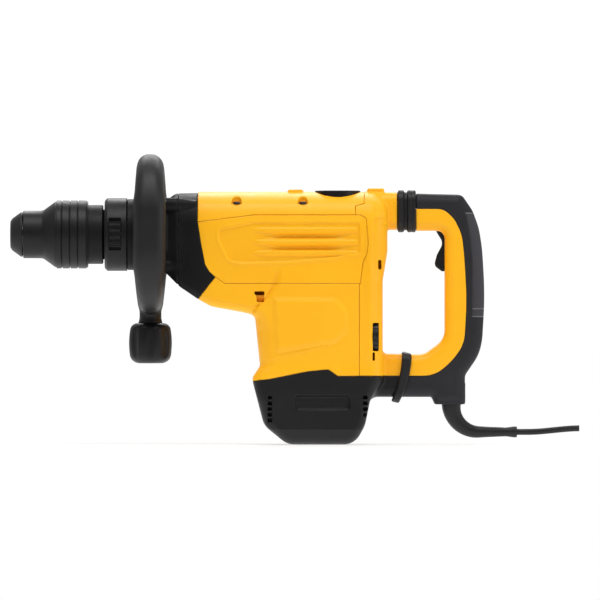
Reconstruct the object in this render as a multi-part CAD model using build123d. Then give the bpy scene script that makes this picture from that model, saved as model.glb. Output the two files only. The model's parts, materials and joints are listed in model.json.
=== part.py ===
from build123d import *
import os
from math import acos, atan2, cos, degrees, pi, radians, sin, tan

# Demolition hammer with an 18 mm quick-change chisel holder.
# Millimetres. The origin is on the chisel axis at the mouth of the steel tool holder.
# +X runs to the rear handle, +Z is up, +Y is the tool's right-hand side.

# ---- driving dimensions ----
GAP = 0.15                 # each cover stops this far short of a seam
WALL = 3.5                 # moulded housing wall
FIT = 0.05                 # radial clearance of a running fit

SHANK_BORE_R = 9.05        # bore for an 18 mm shank
SHANK_BORE_LENGTH = 42.0
HOLDER_REAR = 154.0
LOCK_X = 50.0              # locking balls
BALL_R = 4.5
BALL_CENTRE_R = 12.0
SLEEVE_FRONT = 10.0
SLEEVE_REAR = 91.0
SLEEVE_TRAVEL = 13.0
NECK_R = 36.9
COLLAR_FRONT, COLLAR_REAR = 112.0, 140.0
COLLAR_R = 45.6
BARREL_R = 44.4
NOSE_TUBE_R = 34.0
FLANGE_FRONT, FLANGE_REAR = 187.0, 204.0
CYLINDER_R, CYLINDER_BORE = 30.0, 25.0
CYLINDER_FRONT, CYLINDER_REAR = 199.0, 340.0
BEAT_R = 13.0

CRANK_X = 403.0
CRANK_RADIUS = 18.0
CONROD_LENGTH = 80.0
WRIST_X = CRANK_X + CRANK_RADIUS - CONROD_LENGTH
GEAR_MODULE = 1.25
CRANK_TEETH, PINION_TEETH = 60, 10
PROFILE_SHIFT = 0.4        # moved from the crank gear to the pinion
MOTOR_X = CRANK_X - GEAR_MODULE * (CRANK_TEETH + PINION_TEETH) / 2
CHAMBER_R = 41.5
CRANK_CAP_R = 28.5

TOP_Z = 53.4               # crown of the upper housing
BODY_HALF = 52.0           # half-width of the upper housing
CROWN_R = 68.0
COLUMN_HALF = 55.0         # half-width of the motor column
BODY_REAR = 465.0
COLUMN_REAR = 459.0
SIDE_SEAM_Z = 23.75
MOTOR_SEAM_Z = -61.25
CAP_SEAM_Z = -176.6
BASE_Z = -262.0

ARM_HALF = 20.0            # half-width of the handle and its arms
NECK_END_X = 477.0         # the upper housing stub ends here
HANDLE_FRONT_X = 501.0     # the upper handle arm starts here
PIVOT_X, PIVOT_Z = 486.0, -176.0
PIVOT_R = 5.0
TRIGGER_X, TRIGGER_Z = 534.0, 8.5
DIAL_X, DIAL_Y, DIAL_Z, DIAL_R = 450.0, -36.5, -128.0, 20.0
CORD_X, CORD_Z, CORD_BEND = 545.0, -246.8, 34.0

LOOP_X = 169.0             # plane of the side handle's loop
LOOP_TOP, LOOP_BOTTOM, LOOP_SIDE = 100.0, -98.0, 112.0
LOOP_WIDTH, LOOP_DEPTH = 41.0, 34.0
KNOB_TOP, KNOB_BOTTOM, KNOB_R = -110.5, -161.0, 27.0
STUD_R = 4.0

LOW = (Align.CENTER, Align.CENTER, Align.MIN)


# ---- shape helpers ----
def tube(x0, x1, outer, inner=0.0):
    """Round bar or tube along X, on the chisel axis."""
    ring = Circle(outer) - Circle(inner) if inner else Circle(outer)
    return Pos(x0, 0, 0) * extrude(Plane.YZ * ring, x1 - x0)


def bar_x(x0, x1, y, z, radius):
    """Round bar along X through (y, z)."""
    return Pos(0, y, z) * tube(x0, x1, radius)


def post(x, y, z0, z1, outer, inner=0.0):
    """Round bar or tube along Z."""
    ring = Circle(outer) - Circle(inner) if inner else Circle(outer)
    return Pos(x, y, z0) * extrude(ring, z1 - z0)


def pin_y(x, z, y0, y1, radius):
    """Round bar along Y."""
    return Pos(x, y0, z) * Rot(-90, 0, 0) * Cylinder(radius, y1 - y0, align=LOW)


def block(x0, x1, y0, y1, z0, z1):
    return Pos((x0 + x1) / 2, (y0 + y1) / 2, (z0 + z1) / 2) * Box(x1 - x0, y1 - y0, z1 - z0)


def outline(corners):
    """Face from corners (u, v) or (u, v, corner radius)."""
    points = [corner[:2] for corner in corners]
    radii = [corner[2] if len(corner) > 2 else 0 for corner in corners]
    return make_face(FilletPolyline(*points, radius=radii, close=True))


def side_prism(corners, half, inset=0.0):
    """Side outline in X and Z, carried half to each side in Y."""
    face = outline(corners)
    if inset:
        face = offset(face, -inset, kind=Kind.INTERSECTION)
    return extrude(Plane.XZ * face, half, both=True)


def lathe(profile):
    """Profile of (x, radius) points turned about the chisel axis."""
    return revolve(Plane.XZ * make_face(Polyline(*profile, close=True)), Axis.X)


def half(shape, side):
    """Keep the left (-1) or right (+1) half of a shape, clear of the middle plane."""
    reach = 200.0
    near, far = sorted((side * GAP, side * reach))
    return shape & block(-50, 800, near, far, -400, 200)


# ---- tool holder and locking sleeve ----
def tool_holder():
    body = lathe([
        (0, SHANK_BORE_R), (0, 16), (1, 17), (34, 17), (34, 15.5), (90, 15.5), (90, 26),
        (HOLDER_REAR, 26), (HOLDER_REAR, BEAT_R + 0.1), (94, BEAT_R + 0.1), (94, 9.5),
        (SHANK_BORE_LENGTH, 9.5), (SHANK_BORE_LENGTH, SHANK_BORE_R),
    ])
    for side in (1, -1):
        low, high = sorted((side * 5, side * 20))
        body -= post(LOCK_X, 0, low, high, BALL_R + FIT)
    return body


def lock_ball(side):
    return Pos(LOCK_X, 0, side * BALL_CENTRE_R) * Sphere(BALL_R)


def dust_cap():
    return lathe([
        (-6, 9.4), (-6, 17), (-4.6, 19), (7.5, 28), (9.3, 28), (9.3, 17.1), (-0.2, 17.1),
        (-0.2, 14), (-3, 11),
    ])


def lock_sleeve():
    outer = [(SLEEVE_FRONT, 29), (SLEEVE_FRONT + 0.8, 29.7), (35.6, 29.7), (50, 39.6), (50.9, 41.6)]
    for start, end in ((51.7, 58), (59.2, 68), (69.2, 78), (79.2, 89.2)):
        outer += [(start, 42.5), (end, 42.5), (end + 0.6, 40.8)]
    outer += [(90.2, 41.6), (SLEEVE_REAR, 41.0)]
    inner = [
        (SLEEVE_REAR, NECK_R + 0.5), (60, NECK_R + 0.5), (60, 34), (46, 34), (46, 26),
        (14, 26), (14, 17.3), (SLEEVE_FRONT, 17.3),
    ]
    return lathe(outer + inner)


def lock_ring():
    land = BALL_CENTRE_R + BALL_R + 0.1
    slope = 0.19
    front = 34.0
    return lathe([
        (front, land + slope * (LOCK_X + 2 - front)), (front, 26 - FIT), (46, 26 - FIT),
        (46 + FIT, 34 - FIT), (60, 34 - FIT), (60, land), (LOCK_X + 2, land),
    ])


def coil_spring(radius, wire, length, turns):
    """Open spring along Z from 0 to length, measured over the wire."""
    path = Helix(pitch=(length - wire) / turns, height=length - wire, radius=radius)
    end = path @ 0
    section = Plane(origin=end, z_dir=path % 0) * Circle(wire / 2)
    return Pos(0, 0, wire / 2) * sweep(section, path)


def lock_spring():
    return Pos(60.6, 0, 0) * Rot(0, 90, 0) * coil_spring(20.5, 3.0, 28.6, 4)


def neck_ring():
    front, rear = 74.0, 110.0
    return lathe([
        (front, 26 + FIT), (front, NECK_R - 1), (front + 1, NECK_R), (rear - 1, NECK_R),
        (rear, NECK_R - 1), (rear, 26 + FIT),
    ])


# ---- barrel, striker and cylinder ----
def index_collar():
    body = lathe([
        (COLLAR_FRONT, NOSE_TUBE_R + FIT), (COLLAR_FRONT, COLLAR_R - 4), (COLLAR_FRONT + 4, COLLAR_R),
        (COLLAR_REAR - 1, COLLAR_R), (COLLAR_REAR, COLLAR_R - 1), (COLLAR_REAR, NOSE_TUBE_R + FIT),
    ])
    window = block(117, 133.5, -17, 17, COLLAR_R - 3.2, COLLAR_R + 5)
    for step in range(4):
        body -= Rot(90 * step, 0, 0) * window
    for step in range(12):
        body += Rot(30 * step + 9, 0, 0) * block(118, 132.5, -1.2, 1.2, COLLAR_R - 6, COLLAR_R - 0.8)
    return body


def skirt_outline():
    """Side view of the upper housing with its chin."""
    return [
        (FLANGE_FRONT, 47.0), (200, 51.2, 30), (228, TOP_Z, 40), (BODY_REAR, TOP_Z, 6),
        (BODY_REAR, -22, 40), (COLUMN_REAR, -58, 40), (COLUMN_REAR, -101), (299.5, -101, 9),
        (286, -97.6, 15), (245, -90, 25), (228, -80.5, 20), (FLANGE_FRONT, -47),
    ]


def upper_housing(inset):
    """Upper housing pulled in by inset on every side."""
    side = side_prism(skirt_outline(), 80, inset)
    crown_z = TOP_Z - CROWN_R
    section = Rectangle(2 * (BODY_HALF - inset), 240) & (Pos(0, crown_z) * Circle(CROWN_R - inset)
                                                         + Pos(0, crown_z - 120) * Rectangle(200, 240))
    across = extrude(Plane.YZ * section, 500)
    edge = BODY_HALF - inset + 0.8
    front = FLANGE_FRONT - 5
    plan = outline([
        (front, -edge + 9), (206, -edge + 6, 20), (236, -edge, 40), (BODY_REAR - inset, -edge, 24),
        (BODY_REAR - inset, edge, 24), (236, edge, 40), (206, edge - 6, 20), (front, edge - 9),
    ])
    return side & across & (Pos(0, 0, -150) * extrude(plan, 250))


def column_outline():
    """Side view of the motor column down to the foot."""
    return [
        (299, -70), (COLUMN_REAR, -70), (COLUMN_REAR, -182, 4), (443, -208, 10), (437, -238, 40),
        (424, BASE_Z, 26), (340, BASE_Z, 24), (311, -238, 24), (296, -181), (296, -171, 3),
        (303.5, -163.5, 8), (299, -101),
    ]


def motor_column(inset):
    side = side_prism(column_outline(), 80, inset)
    edge = COLUMN_HALF - inset
    wide = edge + 2
    plan = outline([
        (294 + inset, -wide, 28), (BODY_REAR - inset, -wide, 28), (BODY_REAR - inset, wide, 28),
        (294 + inset, wide, 28),
    ])
    foot = outline([
        (-edge, -60), (edge, -60), (edge, -165, 20), (wide, -180, 20), (wide, -216, 20),
        (wide - 17, BASE_Z + inset, 8), (-wide + 17, BASE_Z + inset, 8), (-wide, -216, 20),
        (-wide, -180, 20), (-edge, -165, 20),
    ])
    return side & (Pos(0, 0, -300) * extrude(plan, 260)) & extrude(Plane.YZ * foot, 520)


def arm_section(z_low, z_high, half_width, inset, corner=12.0):
    """Rounded section of a handle arm, in Y and Z."""
    middle = (z_low + z_high) / 2
    height = z_high - z_low
    return Plane.YZ * (Pos(0, middle) * RectangleRounded(
        2 * (half_width - inset), height - 2 * inset, corner - inset))


def neck_stub(inset):
    """Stub of the upper arm; the inner shape runs out of its open end."""
    end = NECK_END_X + (10 if inset else 0)
    return Pos(440, 0, 0) * extrude(arm_section(5.5, 52.8, 21, inset), end - 440)


def split_x(z):
    """The slanted joint face of the lower arm."""
    top_z, top_x, bottom_z, bottom_x = -146.6, 489.6, -204.4, 475.9
    return bottom_x + (z - bottom_z) * (top_x - bottom_x) / (top_z - bottom_z)


def lower_stub(inset):
    arm = Pos(430, 0, 0) * extrude(arm_section(-203, -149, ARM_HALF, inset), 80)
    shift = -1.0 + (12 if inset else 0)
    keep = side_prism([
        (420, -140), (split_x(-140) + shift, -140), (split_x(-210) + shift, -210), (420, -210),
    ], 60)
    return arm & keep


def skin(inset):
    return upper_housing(inset) + motor_column(inset) + neck_stub(inset) + lower_stub(inset)


# Cover seams in the side view.
CASE_SEAM = [(228.4, 90), (228.4, 15.2), (232.3, -10), (237.6, -37.5), (243, -46.8), (250.3, -53.2)]
CHIN_SEAM = [(250.3, -53.2), (229.6, -79.8), (222, -90)]
UPPER_SEAM = [(228.4, 15.2), (297, SIDE_SEAM_Z), (432, SIDE_SEAM_Z)]
REAR_SEAM = [(432, SIDE_SEAM_Z), (438.4, 19.4), (440.9, -11), (439, -25.6), (434.6, -34.4), (431.5, -56)]
CAP_SEAM = [(280, -184.6), (317.5, -180.6), (365, -171), (391, -168.5), (402.8, CAP_SEAM_Z), (520, CAP_SEAM_Z)]


def region(corners):
    """Zone of a cover between its seams, short of each seam by GAP."""
    return side_prism(corners, 90, GAP)


def shell_piece(corners):
    zone = region(corners)
    return (SKIN & zone) - INNER


def gear_case():
    """Black front casting, cylinder tube, crank chamber and gear chamber."""
    front = region([(FLANGE_REAR, 90)] + CASE_SEAM + CHIN_SEAM[1:] + [(FLANGE_REAR, -95)])
    nose = SKIN & front
    nose -= INNER & block(222, 300, -80, 80, -120, 80)
    nose += SKIN & block(FLANGE_REAR + GAP, 222, -46, 46, -50, 48)
    chamber = post(CRANK_X, 0, -56, 35, CHAMBER_R + 4.5) & upper_housing(WALL + 1)
    chamber += post(CRANK_X, 0, 30, 42, CRANK_CAP_R) + post(MOTOR_X, 0, -56, -28, 15)
    body = nose + tube(215, 366, CYLINDER_R + 6) + chamber
    body -= post(CRANK_X, 0, -28, 29, CHAMBER_R)
    body -= post(CRANK_X, 0, -60, -40, CHAMBER_R) + post(MOTOR_X, 0, -60, -40, 10.5)
    body -= tube(200, 380, CYLINDER_R + FIT)
    body -= post(CRANK_X, 0, -45, -20, 15)
    body -= post(CRANK_X, 0, 25, 50, 24)
    for y, z in BOLT_PLACES:
        body -= bar_x(200, 224, y, z, 3)
    return body


BOLT_PLACES = [(38, 37), (-38, 37), (38, -39), (-38, -39)]


def front_barrel():
    body = tube(114, 142, NOSE_TUBE_R) + tube(COLLAR_REAR + 0.4, 190, BARREL_R)
    body += upper_housing(0) & block(FLANGE_FRONT, FLANGE_REAR - GAP, -80, 80, -100, 80)
    for y, z in BOLT_PLACES:
        body += bar_x(189.6, FLANGE_REAR - GAP, y, z, 8)
    body -= tube(100, HOLDER_REAR + 0.2, 32)
    body -= tube(HOLDER_REAR, 210, CYLINDER_R + FIT)
    for y, z in BOLT_PLACES:
        body -= bar_x(185, 195, y, z, 5.6)
        body -= bar_x(185, 210, y, z, 3)
    return body


def barrel_bolts():
    bolts = []
    for y, z in BOLT_PLACES:
        head = bar_x(189, 195, y, z, 5) - Pos(189, y, z) * Rot(0, 90, 0) * extrude(RegularPolygon(2.9, 6), 3)
        bolts.append(head + bar_x(195, 222, y, z, 3 - FIT))
    return Compound(children=bolts)


def holder_bush():
    return tube(116, HOLDER_REAR, 32 - FIT, 26 + FIT)


def impact_guide():
    front = HOLDER_REAR + 0.5
    return lathe([
        (front, 19.1), (front, CYLINDER_R), (CYLINDER_FRONT - 0.2, CYLINDER_R),
        (CYLINDER_FRONT - 0.2, BEAT_R + FIT), (181, BEAT_R + FIT), (181, 19.1),
    ])


def beat_piece():
    return lathe([
        (106, 0), (106, BEAT_R - 2), (108, BEAT_R), (166, BEAT_R), (168, 19), (178, 19),
        (180, BEAT_R), (196, BEAT_R), (198, BEAT_R - 2), (198, 0),
    ])


def cylinder():
    body = tube(CYLINDER_FRONT, CYLINDER_REAR, CYLINDER_R, CYLINDER_BORE + FIT)
    for angle in range(0, 360, 60):
        body -= Rot(angle, 0, 0) * post(292, 0, 20, 35, 2)
    return body


def ram():
    profile = [(216, 0), (216, BEAT_R - 2), (219, BEAT_R), (226, BEAT_R), (230, CYLINDER_BORE)]
    profile += [(262, CYLINDER_BORE), (262, 23.4), (265, 23.4), (265, CYLINDER_BORE)]
    return lathe(profile + [(278, CYLINDER_BORE), (278, 0)])


def piston():
    face = WRIST_X - 25
    body = lathe([
        (face, 0), (face, CYLINDER_BORE), (face + 5, CYLINDER_BORE), (face + 5, 22.6),
        (face + 9, 22.6), (face + 9, CYLINDER_BORE), (WRIST_X + 9, CYLINDER_BORE), (WRIST_X + 9, 0),
    ])
    body -= block(face + 13, WRIST_X + 12, -16, 16, -10, 10)
    return body - post(WRIST_X, 0, -30, 30, 6)


def piston_seal():
    face = WRIST_X - 25
    return tube(face + 5.1, face + 8.9, CYLINDER_BORE, 22.7)


def piston_pin():
    return post(WRIST_X, 0, -20, 20, 6 - 0.02)


def conrod():
    big_x = WRIST_X + CONROD_LENGTH
    body = post(WRIST_X, 0, -9, 9, 11) + post(big_x, 0, -9, 9, 13)
    body += block(WRIST_X, big_x, -6, 6, -7, 7)
    return body - post(WRIST_X, 0, -10, 10, 6 + FIT) - post(big_x, 0, -10, 10, 7.2)


# ---- crank drive and motor ----
def involute(angle):
    return tan(angle) - angle


def gear_face(teeth, shift, tip, root, phase):
    """Spur gear face with involute flanks of 20 degrees, thinned a little for backlash."""
    pressure = radians(20)
    pitch_r = GEAR_MODULE * teeth / 2
    base_r = pitch_r * cos(pressure)
    tooth = GEAR_MODULE * (pi / 2 + 2 * shift * tan(pressure)) - 0.1
    at_pitch = tooth / 2 / pitch_r

    def half_angle(radius):
        rolled = involute(acos(min(1.0, base_r / radius)))
        return at_pitch + involute(pressure) - rolled

    steps = [root, max(root + 0.01, base_r), pitch_r, (pitch_r + tip) / 2, tip]
    points = []
    for index in range(teeth):
        middle = phase + 2 * pi * index / teeth
        for sign, radii in ((-1, steps), (1, steps[::-1])):
            for radius in radii:
                angle = middle + sign * half_angle(radius)
                points.append((radius * cos(angle), radius * sin(angle)))
    return make_face(Polyline(*points, close=True))


def crank_gear():
    pitch_r = GEAR_MODULE * CRANK_TEETH / 2
    tip = pitch_r + GEAR_MODULE * (1 - PROFILE_SHIFT)
    root = pitch_r - GEAR_MODULE * (1.25 + PROFILE_SHIFT)
    face = gear_face(CRANK_TEETH, -PROFILE_SHIFT, tip, root, 0) - Circle(8)
    body = Pos(CRANK_X, 0, -54) * extrude(face, 12)
    for angle in range(0, 360, 60):
        body -= Pos(CRANK_X, 0, 0) * Rot(0, 0, angle) * post(22, 0, -60, -40, 6)
    return body


def crankshaft():
    web = post(CRANK_X, 0, -26, -14, 33) - post(CRANK_X - 22, 0, -27, -20, 7)
    pin = post(CRANK_X + CRANK_RADIUS, 0, -14, -9.5, 7)
    return post(CRANK_X, 0, -67, -26, 8) + web + pin


def crank_bearings():
    upper = post(CRANK_X, 0, -39.5, -28.5, 15 - 0.02, 8 + FIT)
    lower = post(CRANK_X, 0, -67.5, -57.5, 13, 8 + FIT)
    return Compound(children=[upper, lower])


def gear_case_cover():
    plate = post(CRANK_X, 0, -70, -56 - 0.1, CHAMBER_R + 4.5) + post(MOTOR_X, 0, -70, -56 - 0.1, 20)
    plate -= post(CRANK_X, 0, -67.5, -50, 13 + 0.02) + post(MOTOR_X, 0, -67.5, -50, 13 + 0.02)
    return plate - post(MOTOR_X, 0, -75, -60, 6)


def crank_cap():
    body = post(CRANK_X, 0, 42.2, 54.8, CRANK_CAP_R) + post(CRANK_X, 0, 33, 43, 24 - FIT)
    return body - post(CRANK_X, 0, 30, 50, 20)


def armature_shaft():
    pitch_r = GEAR_MODULE * PINION_TEETH / 2
    tip = pitch_r + 1.55
    root = pitch_r - GEAR_MODULE * (1.25 - PROFILE_SHIFT)
    face = gear_face(PINION_TEETH, PROFILE_SHIFT, tip, root, pi / PINION_TEETH)
    pinion = Pos(MOTOR_X, 0, -55) * extrude(face, 14)
    return post(MOTOR_X, 0, -226, -55, 5) + pinion


def armature_core():
    body = post(MOTOR_X, 0, -168, -98, 28.5, 5)
    for angle in range(0, 360, 30):
        body -= Pos(MOTOR_X, 0, 0) * Rot(0, 0, angle) * block(24, 30, -1.2, 1.2, -170, -96)
    return body


def commutator():
    body = post(MOTOR_X, 0, -205, -180, 17, 5)
    for angle in range(0, 360, 15):
        body -= Pos(MOTOR_X, 0, 0) * Rot(0, 0, angle) * block(16, 18, -0.3, 0.3, -206, -183)
    return body


def cooling_fan():
    body = post(MOTOR_X, 0, -92, -78, 9, 5) + post(MOTOR_X, 0, -80, -78, 38, 5)
    for angle in range(0, 360, 30):
        body += Pos(MOTOR_X, 0, 0) * Rot(0, 0, angle) * block(8, 37, -0.8, 0.8, -92, -79)
    return body


def field_stator():
    body = post(MOTOR_X, 0, -168, -98, 43, 29.3)
    return body + post(MOTOR_X, 0, -174, -92, 40, 32)


def motor_bearings():
    upper = post(MOTOR_X, 0, -67.5, -57.5, 13, 5 + FIT)
    lower = post(MOTOR_X, 0, -224, -212, 13, 5 + FIT)
    return Compound(children=[upper, lower])


def brush_holders():
    holder = block(MOTOR_X - 8, MOTOR_X + 8, 19, 46, -201, -184)
    holder -= block(MOTOR_X - 5.1, MOTOR_X + 5.1, 18, 42, -196.6, -188.4)
    return Compound(children=[holder, mirror(holder, Plane.XZ)])


def carbon_brushes():
    brush = block(MOTOR_X - 5, MOTOR_X + 5, 17.4, 36, -196.5, -188.5)
    return Compound(children=[brush, mirror(brush, Plane.XZ)])


# ---- covers ----
TOP_SCREWS = [(277, 43), (277, -43), (359.5, 43), (359.5, -43)]
CHIN_SCREWS = [(305, 43), (305, -43)]
COVER_SCREW_Z = 37.0
CHIN_SCREW_Z = -82.0


def top_cover():
    zone = [(228.4, 90)] + UPPER_SEAM[:2] + [(425.2, SIDE_SEAM_Z), (425.2, 35), (436, 38.5), (436, 90)]
    body = shell_piece(zone)
    inside = SKIN & region(zone)
    for x, y in TOP_SCREWS:
        body += inside & post(x, y, 24, 60, 7)
        body -= post(x, y, COVER_SCREW_Z, 60, 5) + post(x, y, 20, 40, 2.2)
    body += block(341, 360, -14, 14, TOP_Z - 2.5, TOP_Z + 2.8)
    return body - post(CRANK_X, 0, 30, 60, CRANK_CAP_R + 0.3)


def side_cover(side):
    zone = UPPER_SEAM + REAR_SEAM[1:] + [(431.5, MOTOR_SEAM_Z), (262, MOTOR_SEAM_Z)] + CASE_SEAM[:1:-1]
    body = half(shell_piece(zone), side)
    inside = half(SKIN & region(zone), side)
    for x, y in TOP_SCREWS:
        if y * side > 0:
            body += inside & post(x, y, 2, SIDE_SEAM_Z - 0.4, 6)
            body -= post(x, y, 6, 30, 1.8)
    return body - grip_panel(side)


def grip_panel(side):
    """Shallow ribbed recess on a side cover."""
    recess = side_prism([
        (258, 7, 6), (297, 14.3, 8), (428, 14.3, 4), (430, -28, 8), (400, -30, 8), (343, -35, 8),
        (272, -36.8, 6), (261, -25, 6),
    ], 90)
    for z in (7.2, -6.9, -21.3):
        recess -= side_prism([(262, z - 3.2), (424, z - 3.2), (424, z + 3.2), (262, z + 3.2)], 95)
    edge = BODY_HALF - 1.2
    near, far = sorted((side * edge, side * (edge + 10)))
    return recess & block(200, 500, near, far, -60, 40)


def motor_housing():
    zone = CHIN_SEAM[::-1] + [(262, MOTOR_SEAM_Z), (429.7, MOTOR_SEAM_Z), (429.7, CAP_SEAM_Z)]
    zone += CAP_SEAM[4::-1] + [(280, -120)]
    body = shell_piece(zone)
    for z in (-166, -104):
        web = INNER & block(300, 429, -70, 70, z, z + 4)
        body += web - post(MOTOR_X, 0, -200, -60, 43 + FIT)
    inside = SKIN & region(zone)
    for x, y in CHIN_SCREWS:
        body += inside & post(x, y, -95, -62, 7)
        body -= side_prism([(x - 6, CHIN_SCREW_Z), (x + 6, CHIN_SCREW_Z), (x + 6, -71, 4), (x - 6, -71, 4)], 70) \
            & block(x - 7, x + 7, *sorted((y * 0.9, y * 1.4)), -90, -60)
    return body


def bottom_cap():
    body = shell_piece([CAP_SEAM[0], *CAP_SEAM[1:], (520, -290), (280, -290)])
    floor = BASE_Z + WALL + 1
    body += post(MOTOR_X, 0, floor - 2, -211, 17) - post(MOTOR_X, 0, -224, -200, 13.02)
    body -= post(MOTOR_X, 0, floor + 3, -215, 9)
    for z in range(5):
        height = -198 - 6.0 * z
        body -= block(290, 312, -42, 42, height - 1.6, height + 1.6) - block(290, 320, -9, 9, -260, -180)
    recess = side_prism([(349, -200.5, 6), (418, -200.5, 6), (418, -218, 6), (349, -218, 6)], 90)
    return body - (recess - block(300, 500, -COLUMN_HALF, COLUMN_HALF, -240, -190))


def rear_housing(side):
    zone = [(436, 90), (436, 38.5), (425.2, 35), (425.2, SIDE_SEAM_Z)] + REAR_SEAM
    zone += [(431.5, MOTOR_SEAM_Z), (429.7, MOTOR_SEAM_Z), (429.7, CAP_SEAM_Z), (520, CAP_SEAM_Z), (520, 90)]
    body = shell_piece(zone)
    body += (INNER & block(461.5, 465, -30, 30, 0, 60))
    body += block(440, 461, -14, 14, TOP_Z - 2.5, TOP_Z + 4.3)
    tongue = side_prism([(452, -151), (479, -151), (478, -166), (484, -186), (452, -186)], 6)
    tongue += pin_y(PIVOT_X, PIVOT_Z, -6, 6, 11)
    body += tongue - pin_y(PIVOT_X, PIVOT_Z, -10, 10, PIVOT_R + FIT)
    body -= block(DIAL_X - 3.6, DIAL_X + 3.6, -70, -16, DIAL_Z - 18, DIAL_Z + 18)
    body = half(body, side)
    for z in (-37, -152):
        near, far = sorted((side * (BODY_HALF - 6), side * 70))
        body -= block(444, 450, near, far, z - 5, z + 5)
    return body


def housing_screws():
    screws = []
    for x, y in TOP_SCREWS:
        screws.append(post(x, y, COVER_SCREW_Z, COVER_SCREW_Z + 3.5, 4) + post(x, y, 8, COVER_SCREW_Z, 1.8))
    for x, y in CHIN_SCREWS:
        screws.append(post(x, y, CHIN_SCREW_Z, CHIN_SCREW_Z + 3.5, 4))
    return Compound(children=screws)


def control_module():
    board = block(434, 436, -34, 34, -160, -74)
    return board + block(436, 443, -28, 28, -154, -108) + block(436, 441, -10, 30, -102, -80)


def speed_dial():
    wheel = Pos(DIAL_X - 3, DIAL_Y, DIAL_Z) * Rot(0, 90, 0) * Cylinder(DIAL_R, 6, align=LOW)
    for angle in range(0, 360, 20):
        notch = Pos(0, DIAL_Y, DIAL_Z) * Rot(angle, 0, 0) * block(DIAL_X - 4, DIAL_X + 4, -1, 1, DIAL_R - 1, DIAL_R + 1)
        wheel -= notch
    return wheel


# ---- sprung rear handle ----
# Seam between the yellow handle halves and the black overmould.
GRIP_SEAM = [
    (470, 32.2), (533, 31.2, 30), (550, 21, 20), (561, -22, 60), (564, -82, 200), (560.5, -136, 40),
    (545, -159, 30), (523, CAP_SEAM_Z, 20), (470, CAP_SEAM_Z),
]
HANDLE_SCREWS = [(512, 24), (546, -66), (547, -120), (510, -164)]
SCREW_HEAD_R, SCREW_SHANK_R = 4.0, 1.9
SWITCH_X0, SWITCH_X1 = 549.0, 561.0
SWITCH_Z0, SWITCH_Z1 = -40.0, -8.0
PLUNGER_Z = -22.0
PLUNGER_R = 3.0


def handle_outline():
    return [
        (HANDLE_FRONT_X, 52.3), (553, 50, 14), (569, 34, 16), (583, -10, 90), (586.5, -76, 200),
        (583, -134, 90), (578, -154, 20), (562, -176, 10), (562, -212, 3), (524, -212, 5),
        (520, -203, 3), (split_x(-203) + 1, -203), (split_x(-149.5) + 1, -149.5),
        (512, -149.8, 14), (536.5, -131, 14), (536.5, 4.4, 9), (HANDLE_FRONT_X, 4.4),
    ]


def handle_skin(inset):
    side = side_prism(handle_outline(), 60, inset)
    edge = ARM_HALF - inset
    return side & block(470, 620, -edge, edge, -230, 80)


def grip_zone(gap):
    """Zone of the yellow handle halves; the overmould takes what is outside it."""
    return side_prism(GRIP_SEAM, 40, gap)


def pivot_lug():
    """Ears in the lower arm that hold the pivot pin on both sides of the tongue."""
    return pin_y(PIVOT_X, PIVOT_Z, -16.2, 16.2, 10) + block(PIVOT_X, 500, -17, 17, -186, -166)


def tongue_slot():
    return pin_y(PIVOT_X, PIVOT_Z, -6.5, 6.5, 12.5) + pin_y(PIVOT_X, PIVOT_Z, -30, 30, PIVOT_R)


def trigger_slot():
    return block(523.5, 548.5, -7.8, 7.8, -51, 11.5) + pin_y(TRIGGER_X, TRIGGER_Z, -12.5, 12.5, 3 + FIT)


def trigger_bosses():
    boss = pin_y(TRIGGER_X, TRIGGER_Z, 8, 17, 7) & block(500, 560, 0, 20, 4.4, 30)
    return boss + mirror(boss, Plane.XZ)


def handle_half(side):
    body = (handle_skin(0) - handle_skin(4)) & grip_zone(GAP)
    body += trigger_bosses()
    body += pivot_lug()
    body += [pin_y(x, z, -17, 17, 5) for x, z in HANDLE_SCREWS]
    body -= trigger_slot() + tongue_slot()
    body -= block(SWITCH_X0 - 0.2, SWITCH_X1 + 0.2, -11.2, 11.2, SWITCH_Z0 - 0.2, SWITCH_Z1 + 0.2)
    for x, z in HANDLE_SCREWS:
        body -= pin_y(x, z, -13.5, 30, SCREW_SHANK_R)
        body -= pin_y(x, z, ARM_HALF - 2.5, 30, SCREW_HEAD_R + 0.4)
    return half(body, side)


def grip_overmould():
    body = (handle_skin(0) - handle_skin(4)) - grip_zone(0)
    body -= pivot_lug() + tongue_slot()
    return body - post(CORD_X, 0, -220, -200, 12.2)


def handle_screws():
    """Screws driven from the right side through both halves."""
    screws = []
    for x, z in HANDLE_SCREWS:
        head = pin_y(x, z, ARM_HALF - 2.4, ARM_HALF - 0.6, SCREW_HEAD_R)
        screws.append(head + pin_y(x, z, -13, ARM_HALF - 2, SCREW_SHANK_R - FIT))
    return Compound(children=screws)


def switch_body():
    body = block(SWITCH_X0, SWITCH_X1, -11, 11, SWITCH_Z0, SWITCH_Z1)
    return body - bar_x(SWITCH_X0 - 1, SWITCH_X1 - 3, 0, PLUNGER_Z, PLUNGER_R + FIT)


def switch_plunger():
    return bar_x(541.6, SWITCH_X0 + 3, 0, PLUNGER_Z, PLUNGER_R)


def trigger():
    finger = side_prism([
        (526.4, 3.2), (526.4, 11), (541, 11), (541, -45), (533.5, -46.5, 3), (525, -40, 3),
        (524.2, -35.5, 4), (527, -25.2, 12), (531.6, -13.7, 10), (531.5, -7.5, 8),
    ], 7)
    return finger + pin_y(TRIGGER_X, TRIGGER_Z, -12, 12, 3)


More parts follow.
